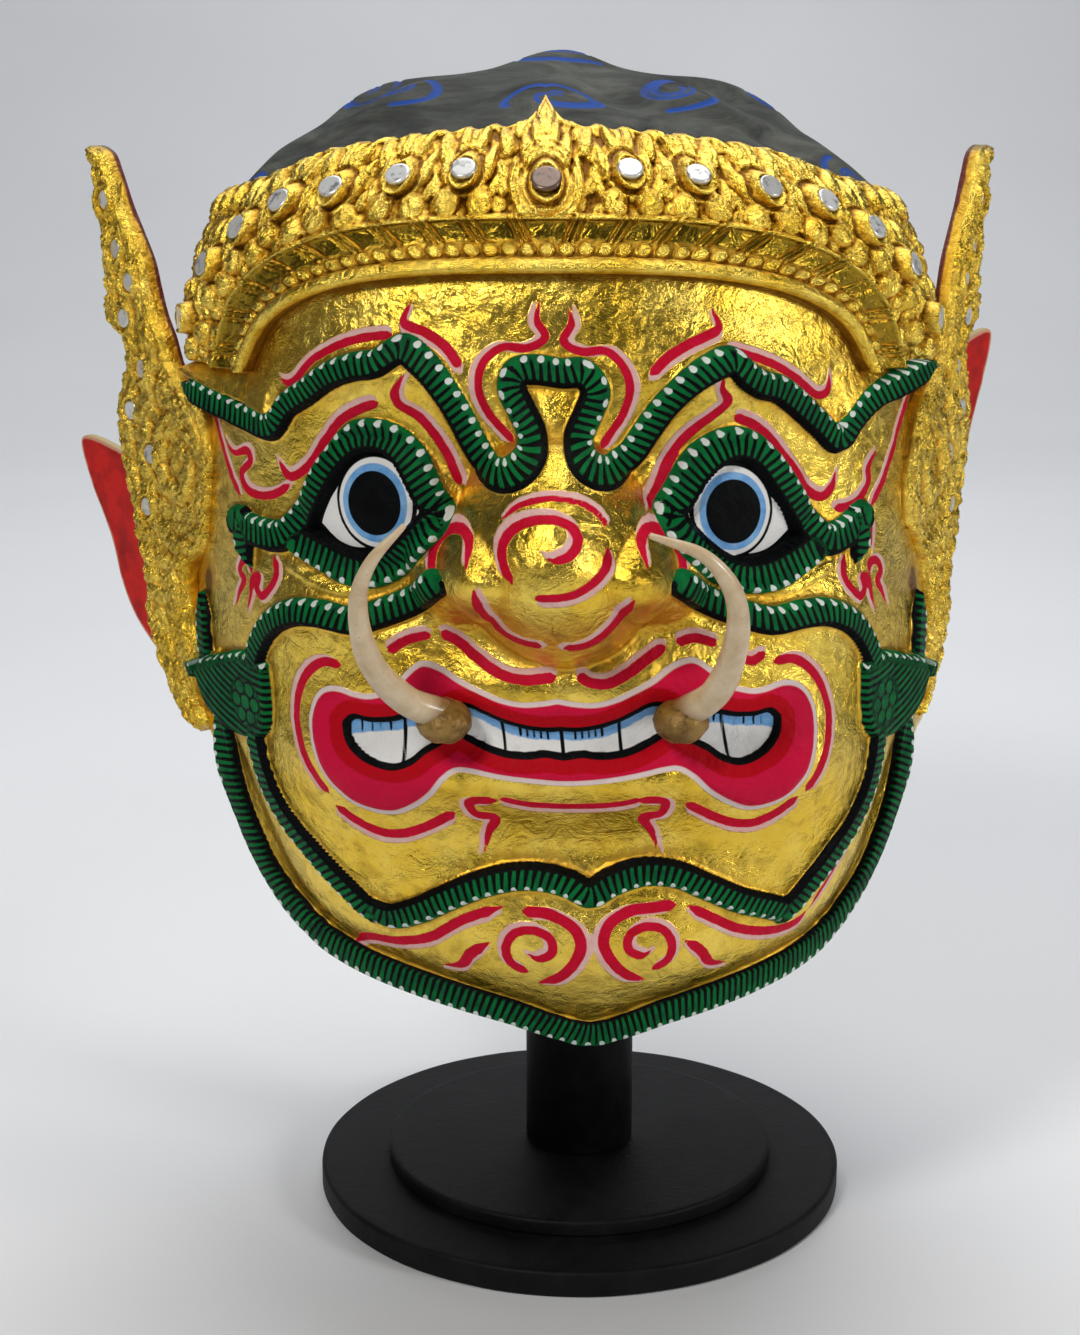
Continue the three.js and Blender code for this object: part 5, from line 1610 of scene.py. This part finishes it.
def eye_paint(finish, look, colour):
    """Eyes from outside in: black outline, white, black ring, white ring, blue ring, black iris, pupil."""
    almond, iris, well = map(finish.field, ("almond", "iris", "well"))
    eye_on = well.under(1.0, 0.25).most(iris.under(IRIS_RADIUS + 0.2, 0.25))
    eye = finish.mix(almond.under(-0.2, 0.2), look.black, look.white)
    ring = finish.mix(finish.noise(240, 3).over(0.5, 0.4), look.blue, look.pale_blue)
    for radius, soft, tone in (
        (IRIS_RADIUS, 0.2, look.black), (10.5, 0.2, look.white), (9.2, 0.3, ring),
        (7.5, 0.2, look.black), (3.2, 0.3, PUPIL_BLACK),
    ):
        eye = finish.mix(iris.under(radius, soft), eye, tone)
    return finish.mix(eye_on, colour, eye), eye_on


def band_paint(finish, look, colour, wander):
    """Green bands with black hatching, black lower edge and pale dots on the upper one, and the rosette."""
    along, across, band, ink = map(finish.field, ("along", "across", "band", "ink"))
    wave = (finish.noise(300, 3) - 0.5) * 0.5
    line = abs((along * (MM / look.hatch_pitch) + across * 0.35 + wave * 0.25).fraction() - 0.5)
    hatch = line.under(0.24 - across * 0.1, 0.08) * across.under(0.75, 0.25)
    green = finish.mix(finish.noise(190, 3).over(0.55, 0.3), look.green, look.deep_green)
    tone = finish.mix(hatch, green, look.black)
    tone = finish.mix((across + wave * 0.25).under(-0.56, 0.1), tone, look.black)
    dot_along = abs((along * (MM / look.dot_pitch)).fraction() - 0.5) * (look.dot_pitch / MM)
    dot_across = (across - 0.74) * BAND_HALF
    dot = finish.math("SQRT", dot_along * dot_along + dot_across * dot_across) + wander * 0.5
    tone = finish.mix(dot.under(0.78, 0.2), tone, look.dot)
    tone = finish.mix(ink.under(0, 0.15), tone, look.black)
    band_on = (band + wander * 0.3).under(0.05, 0.2)
    return finish.mix(band_on, colour, tone), band_on, hatch


def face_finish(look):
    """The painted face: gold leaf, then strokes, lips, teeth, eyes and bands laid over it as enamel."""
    finish = Finish("gilded_face_paint")
    colour, rough, normal = gilt(finish, look, finish.field("hollow"), 0.62)
    # Fine cracks in the leaf on nose and chin
    crack = finish.cracks(120, finish.stretched((1.0, 1.0, 0.4))).under(0.006, 0.008)
    crack = crack * finish.noise(38, 2).over(0.6, 0.06) * abs(finish.field("wide")).under(40, 12)
    colour = finish.mix(crack * 0.5, colour, CRACK_BROWN)
    wander = (finish.noise(420, 2) - 0.5) * 0.5
    brush = finish.noise(260, 4, 0.6)
    colour, strokes_on = stroke_paint(finish, look, colour, brush, wander)
    colour, lips_on = mouth_paint(finish, look, colour, brush, wander)
    colour, eyes_on = eye_paint(finish, look, colour)
    colour, band_on, hatch = band_paint(finish, look, colour, wander)
    enamel = strokes_on.most(lips_on).most(eyes_on).most(band_on)
    rough = rough * (1 - enamel) + enamel * (0.4 + 0.16 * brush)
    relief = enamel * 0.5 + brush * enamel * 0.2 + hatch * band_on * 0.25
    normal = finish.bump(relief, 0.0004, 0.6, normal)
    return finish.surface(
        Base_Color=colour, Roughness=rough, Metallic=1 - enamel, Normal=normal, Specular_IOR_Level=0.06
    )


def hair_finish(look):
    """Dark grey hair with brushed streaks and painted blue spirals."""
    finish = Finish("hair_paint")
    streak = finish.noise(60, 6, 0.65, 1.5, finish.stretched((0.5, 0.5, 1.6)))
    cloud = finish.noise(26, 4, 0.6)
    colour = finish.mix(streak.over(0.5, 0.35), look.hair, look.hair_pale)
    colour = finish.mix(cloud.over(0.56, 0.2) * 0.6, colour, look.hair)
    curl = (finish.field("curl") + (streak - 0.5) * 1.4).under(0.0, 0.5)
    patchy = finish.noise(45, 3).over(0.38, 0.2)
    colour = finish.mix(curl * patchy * 0.95, colour, look.hair_blue)
    normal = finish.bump(streak * 0.6 + finish.noise(700, 3) * 0.2, 0.0007, 0.6)
    return finish.surface(
        Base_Color=colour, Roughness=0.6 + 0.2 * cloud, Normal=normal, Specular_IOR_Level=0.1
    )


def lining_finish(look):
    """Bare papier-mache: layered brown paper with torn edges."""
    finish = Finish("bare_papier_mache")
    sheets = finish.cracks(42, finish.stretched((1.0, 1.0, 0.6)))
    fibre = finish.noise(500, 5, 0.7)
    cloud = finish.noise(24, 3)
    colour = finish.mix(cloud.over(0.5, 0.5), look.paper, look.paper_dark)
    colour = finish.mix(sheets.under(0.02, 0.02) * 0.6, colour, TORN_PAPER)
    normal = finish.bump(fibre * 0.4 + sheets.over(0.03, 0.05) * 0.5, 0.0008, 0.7)
    return finish.surface(Base_Color=colour, Roughness=0.78 + 0.15 * fibre, Normal=normal)


def ear_finish(look, name):
    """Gilded relief in front, dark red lacquered leather behind and in a thin worn line round the edge."""
    finish = Finish(f"gilded_ear_{name}")
    colour, rough, normal = gilt(finish, look, finish.field("hollow") + 0.16, 1.35)
    wear = finish.noise(90, 5, 0.65)
    rear = (finish.field("front") + (wear - 0.5) * 1.6).under(0.7, 0.4)
    dark = finish.mix(wear, LACQUER_RED, LACQUER_RED_DARK)
    colour = finish.mix(rear, colour, dark)
    tip = Value(finish, finish.node("ShaderNodeSeparateXYZ", None, {0: finish.place}).outputs[2])
    dark_tip = tip.over(0.3345, 0.003) * wear.over(0.4, 0.3)
    colour = finish.mix(dark_tip * 0.8, colour, TARNISH)
    rough = rough + rear * 0.15
    return finish.surface(Base_Color=colour, Roughness=rough, Metallic=1 - rear, Normal=normal)


def wing_finish(look, name):
    """Red lacquered leather with a pale cut edge and a lighter scrape along it."""
    finish = Finish(f"red_leather_{name}")
    wear = finish.noise(120, 5, 0.65)
    grain = finish.noise(900, 3, 0.6)
    edge = finish.field("edge") + (wear - 0.5) * 0.9
    colour = finish.mix(wear.over(0.55, 0.3), look.leather_red, look.leather_red_dark)
    colour = finish.mix(edge.under(1.3, 0.3) * 0.85, colour, SCRAPED_LEATHER)
    colour = finish.mix(edge.under(0.35, 0.3), colour, CUT_LEATHER)
    normal = finish.bump(grain * 0.4 + wear * 0.5, 0.0004, 0.5)
    return finish.surface(
        Base_Color=colour, Roughness=0.4 + 0.2 * wear, Normal=normal, Specular_IOR_Level=0.2
    )


def tusk_finish(look, name):
    """Ivory-coloured resin: pale with streaks along it, browned at the root."""
    finish = Finish(f"tusk_resin_{name}")
    streak = finish.noise(160, 4, 0.6, 0.6)
    root = finish.field("root")
    colour = finish.mix(streak.over(0.5, 0.4), look.ivory, look.ivory_warm)
    colour = finish.mix((root + (streak - 0.5) * 0.12).under(0.07, 0.08), colour, ROOT_BROWN)
    specks = finish.noise(1100, 2).over(0.7, 0.05) * 0.5
    colour = finish.mix(specks, colour, IVORY_SPECK)
    normal = finish.bump(streak, 0.0003, 0.4)
    return finish.surface(
        Base_Color=colour, Roughness=0.24 + 0.14 * streak, Normal=normal, Coat_Weight=0.2,
        Subsurface_Weight=0.15, Subsurface_Scale=0.003,
    )


def socket_finish(look, name):
    """A lump of brown-gold lacquer, rubbed bright on top and dark in its dimples."""
    finish = Finish(f"socket_lacquer_{name}")
    lump = finish.noise(300, 5, 0.65)
    patch = finish.noise(120, 3)
    colour = finish.mix(patch.over(0.5, 0.4), look.lacquer, look.lacquer_dark)
    colour = finish.mix(lump.under(0.4, 0.12) * 0.8, colour, DIMPLE_BROWN)
    normal = finish.bump(lump, 0.0012, 0.6)
    return finish.surface(
        Base_Color=colour, Roughness=0.34 + 0.2 * patch, Metallic=0.2 + 0.5 * patch, Normal=normal
    )


def mirror_finish(look):
    """Small old mirrors, some grey and some bright, with a dull rim."""
    finish = Finish("small_mirror")
    tone = finish.field("tone")
    age = finish.noise(420, 4, 0.6)
    colour = finish.mix(tone.least(1.0), look.mirror, look.mirror_dark)
    colour = finish.mix(tone.over(1.5, 0.2), colour, MIRROR_COPPER)
    colour = finish.mix(age.over(0.6, 0.06) * 0.7, colour, MIRROR_SPOT)
    return finish.surface(Base_Color=colour, Roughness=0.12 + 0.25 * age, Metallic=0.2 + 0.4 * age)


def stand_finish(look):
    """Black paint over turned wood: faint rings, brush marks and a little dust."""
    finish = Finish("black_wood_paint")
    dust = finish.noise(55, 5, 0.65)
    brush = finish.noise(240, 5, 0.65, 0.5)
    colour = finish.mix(dust.over(0.55, 0.3), look.stand, look.stand_pale)
    normal = finish.bump(brush * 0.6 + finish.noise(1300, 2) * 0.25, 0.0006, 0.6)
    return finish.surface(
        Base_Color=colour, Roughness=0.45 + 0.25 * dust, Normal=normal, Specular_IOR_Level=0.15
    )


# Stage


FLOOR_REACH = 4000
FLAT_END = 900
SWEEP_START = 1500
SWEEP_RADIUS = 900
BACKDROP_TOP = 4500
FLOOR_DROP = 0.4  # the stand's foot clears the floor by this
MASK_MIDDLE = (-0.007, 0, 0.2)
WALL_MIDDLE = (0, 2.2, 0.2)


def build_floor(look):
    """A pale floor that sweeps up into a backdrop: a flat run, a quarter circle and a wall."""
    across = np.linspace(-FLOOR_REACH, FLOOR_REACH, 3)
    arc = np.linspace(0, math.pi / 2, 14)
    sweep = [(SWEEP_START + SWEEP_RADIUS * math.sin(a), SWEEP_RADIUS * (1 - math.cos(a))) for a in arc]
    run = [(-FLOOR_REACH, 0), (FLAT_END, 0)] + sweep + [(SWEEP_START + SWEEP_RADIUS, BACKDROP_TOP)]
    y, z = np.array(run, float).T
    points = np.stack(np.broadcast_arrays(across[None, :], y[:, None], z[:, None] - FLOOR_DROP), -1)
    quads = quads_of(numbered(points))
    floor = faced_object("floor", points.reshape(-1, 3), quads.tolist(), len(quads))
    finish = Finish("pale_floor")
    cloud = finish.noise(3, 2)
    colour = finish.mix(cloud, look.floor, FLOOR_SHADE)
    floor.data.materials.append(finish.surface(Base_Color=colour, Roughness=0.6))


def add_lights(look):
    """Square lamps by name, place, the place they face, size, power and colour, and the room's light."""
    for name, place, target, size, power, warmth in (
        ("key", (-0.7, -1.2, 1.3), MASK_MIDDLE, 0.32, 27, (1, 0.97, 0.92)),
        ("fill", (1.5, -0.8, 0.7), MASK_MIDDLE, 0.4, 21, (1, 0.98, 0.96)),
        ("top", (0.1, 0.1, 1.6), MASK_MIDDLE, 0.7, 13, (1, 1, 1)),
        ("back", (0.0, 1.0, 1.9), MASK_MIDDLE, 1.6, 34, (0.96, 0.98, 1)),
        ("wall", (0.0, 1.0, 1.6), WALL_MIDDLE, 1.0, 14, (0.96, 0.97, 1)),
    ):
        lamp = bpy.data.lights.new(name, "AREA")
        lamp.size = size
        lamp.energy = power * look.light_power
        lamp.color = warmth
        lamp_object = linked(name, lamp)
        lamp_object.location = place
        aim = np.array(target) - np.array(place)
        lamp_object.rotation_euler = (
            math.atan2(math.hypot(aim[0], aim[1]), -aim[2]), 0, math.atan2(aim[1], aim[0]) - math.pi / 2,
        )
    world = bpy.data.worlds.new("room")
    world.use_nodes = True
    sky = world.node_tree.nodes["Background"]
    sky.inputs[0].default_value = (0.86, 0.88, 0.92, 1)
    sky.inputs[1].default_value = look.room_light
    bpy.context.scene.world = world


def add_camera():
    """The camera, and the plain view that goes with it."""
    bpy.context.scene.view_settings.view_transform = "Standard"
    camera = bpy.data.cameras.new("camera")
    camera.sensor_fit = "VERTICAL"
    camera.sensor_height = SENSOR
    camera.lens = SENSOR * FOCAL_PX / FRAME_HIGH_PX
    camera_object = linked("camera", camera)
    camera_object.location = CAMERA_PLACE
    camera_object.rotation_euler = (math.radians(90 - CAMERA_DIP), 0, 0)
    bpy.context.scene.camera = camera_object


# Add-on


def colour_property(label, words, default):
    """A colour that a user would change."""
    return bpy.props.FloatVectorProperty(
        name=label, description=words, default=default, size=3, min=0, max=1, subtype="COLOR"
    )


def length_property(label, words, default):
    """A length in metres that a user would change."""
    return bpy.props.FloatProperty(name=label, description=words, default=default, min=0, unit="LENGTH")


def count_property(label, words, default, least):
    """A number of a grid's columns or rows."""
    return bpy.props.IntProperty(name=label, description=words, default=default, min=least)


def strength_property(label, words, default):
    """A strength of light."""
    return bpy.props.FloatProperty(name=label, description=words, default=default, min=0)


class MASK_PG_look(bpy.types.PropertyGroup):
    """Sizes and colours of the mask's finish."""

    hatch_pitch: length_property("Hatch pitch", "Spacing of the black strokes across a green band", 0.0021)
    dot_pitch: length_property("Dot pitch", "Spacing of the pale dots along a green band", 0.0038)
    tooth_blue: length_property("Blue of the teeth", "Width of the blue along the upper lip", 0.0034)
    face_columns: count_property("Face columns", "Grid columns of the face", 350, 60)
    face_rows: count_property("Face rows", "Grid rows of the face", 266, 40)
    crown_columns: count_property("Crown columns", "Grid columns of the crown", 810, 60)
    crown_rows: count_property("Crown rows", "Grid rows of the crown", 118, 12)
    light_power: strength_property("Light", "Power of all lamps", 0.5)
    room_light: strength_property("Room light", "Strength of the room's light", 0.11)
    gold: colour_property("Gold", "Gold leaf", (0.80, 0.52, 0.045))
    pale_gold: colour_property("Pale gold", "Burnished gold leaf", (0.91, 0.67, 0.12))
    # Colour of the painted dark reflections and painted shade on the gold leaf
    reflection_olive: colour_property("Olive", "Shaded, dull gold leaf", (0.27, 0.175, 0.015))
    toner: colour_property("Toner", "Amber toner over the leaf", (0.62, 0.32, 0.025))
    # Deep toner also paints shade: behind the ears and along the crown's foot
    deep_toner_and_shade: colour_property("Deep toner", "Brown left in the deepest hollows", (0.13, 0.05, 0.006))
    green: colour_property("Green", "Emerald of the bands", (0.002, 0.15, 0.034))
    deep_green: colour_property("Deep green", "Thicker paint of the bands", (0.002, 0.075, 0.025))
    dot: colour_property("Dots", "Pale dots on the bands", (0.66, 0.72, 0.68))
    crimson: colour_property("Crimson", "Red strokes and inner lips", (0.46, 0.002, 0.009))
    rose: colour_property("Rose", "Outer lips and thin strokes", (0.60, 0.006, 0.045))
    pink: colour_property("Pink", "Tinted edge of the red strokes", (0.70, 0.27, 0.30))
    pale_pink: colour_property("Pale pink", "Pale edge of the red strokes", (0.74, 0.60, 0.58))
    white: colour_property("White", "Teeth and eyes", (0.80, 0.79, 0.77))
    blue: colour_property("Blue", "Upper part of the teeth, and the eye's ring", (0.10, 0.30, 0.62))
    pale_blue: colour_property("Pale blue", "Thin blue of the eye's ring", (0.26, 0.48, 0.76))
    black: colour_property("Black", "Outlines and hatching", (0.002, 0.0025, 0.003))
    hair: colour_property("Hair", "Dark ground of the hair", (0.011, 0.013, 0.013))
    hair_pale: colour_property("Pale hair", "Brushed streaks", (0.098, 0.102, 0.086))
    hair_blue: colour_property("Hair blue", "Painted spirals", (0.012, 0.06, 0.30))
    paper: colour_property("Paper", "Inside of the mask", (0.30, 0.21, 0.13))
    paper_dark: colour_property("Dark paper", "Stained paper inside", (0.14, 0.09, 0.055))
    leather_red: colour_property("Leather red", "Wings behind the ears", (0.60, 0.012, 0.008))
    leather_red_dark: colour_property("Dark leather red", "Worn red of the wings", (0.30, 0.008, 0.006))
    ivory: colour_property("Ivory", "Tusks", (0.66, 0.54, 0.37))
    ivory_warm: colour_property("Warm ivory", "Streaks of the tusks", (0.52, 0.38, 0.21))
    lacquer: colour_property("Lacquer", "Lumps that hold the tusks", (0.36, 0.22, 0.05))
    lacquer_dark: colour_property("Dark lacquer", "Shaded lacquer", (0.15, 0.075, 0.015))
    mirror: colour_property("Mirror", "Bright mirrors", (0.80, 0.81, 0.82))
    mirror_dark: colour_property("Dull mirror", "Aged mirrors", (0.55, 0.55, 0.52))
    stand: colour_property("Stand", "Black paint of the stand", (0.0025, 0.0025, 0.003))
    stand_pale: colour_property("Stand dust", "Worn black paint", (0.008, 0.008, 0.009))
    floor: colour_property("Floor", "Pale floor", (0.80, 0.81, 0.83))


class MASK_OT_face(bpy.types.Operator):
    """Makes the painted, gilded face, the mask's back and its lining"""

    bl_idname = "mask.face"
    bl_label = "Face, back and lining"

    def execute(self, context):
        build_face(context.scene.mask_look)
        build_nape(context.scene.mask_look)
        build_lining(context.scene.mask_look)
        return {"FINISHED"}


class MASK_OT_hair(bpy.types.Operator):
    """Makes the dome of curled hair"""

    bl_idname = "mask.hair"
    bl_label = "Hair"

    def execute(self, context):
        build_hair(context.scene.mask_look)
        return {"FINISHED"}


class MASK_OT_crown(bpy.types.Operator):
    """Makes the gilded crown and its mirrors"""

    bl_idname = "mask.crown"
    bl_label = "Crown"

    def execute(self, context):
        build_crown(context.scene.mask_look)
        build_crown_nape(context.scene.mask_look)
        build_crown_mirrors(context.scene.mask_look)
        return {"FINISHED"}


class MASK_OT_ears(bpy.types.Operator):
    """Makes the gilded ear flames, their mirrors and the red wings behind them"""

    bl_idname = "mask.ears"
    bl_label = "Ears and wings"

    def execute(self, context):
        build_ears(context.scene.mask_look)
        build_wings(context.scene.mask_look)
        return {"FINISHED"}


class MASK_OT_tusks(bpy.types.Operator):
    """Makes the tusks and their sockets"""

    bl_idname = "mask.tusks"
    bl_label = "Tusks"

    def execute(self, context):
        build_tusks(context.scene.mask_look)
        return {"FINISHED"}


class MASK_OT_stand(bpy.types.Operator):
    """Makes the turned black stand"""

    bl_idname = "mask.stand"
    bl_label = "Stand"

    def execute(self, context):
        build_stand(context.scene.mask_look)
        return {"FINISHED"}


class MASK_OT_stage(bpy.types.Operator):
    """Makes the floor, lights and camera"""

    bl_idname = "mask.stage"
    bl_label = "Stage"

    def execute(self, context):
        build_floor(context.scene.mask_look)
        add_lights(context.scene.mask_look)
        add_camera()
        return {"FINISHED"}


OPERATORS = (
    MASK_OT_stage, MASK_OT_face, MASK_OT_hair, MASK_OT_crown, MASK_OT_ears, MASK_OT_tusks, MASK_OT_stand,
)


class MASK_PT_pieces(bpy.types.Panel):
    """Lists the mask's pieces"""

    bl_idname = "MASK_PT_pieces"
    bl_label = "Khon mask"
    bl_space_type = "VIEW_3D"
    bl_region_type = "UI"
    bl_category = "Mask"

    def draw(self, context):
        for operator in OPERATORS:
            self.layout.operator(operator.bl_idname)


CLASSES = (MASK_PG_look, *OPERATORS, MASK_PT_pieces)


def register():
    """Registers the classes and the scene's look."""
    for kind in CLASSES:
        bpy.utils.register_class(kind)
    bpy.types.Scene.mask_look = bpy.props.PointerProperty(type=MASK_PG_look)


def unregister():
    """Takes the look and the classes away again."""
    del bpy.types.Scene.mask_look
    for kind in reversed(CLASSES):
        bpy.utils.unregister_class(kind)


def main():
    """Makes every piece in order."""
    register()
    for operator in OPERATORS:
        group, name = operator.bl_idname.split(".")
        getattr(getattr(bpy.ops, group), name)()


if __name__ == "__main__":
    main()
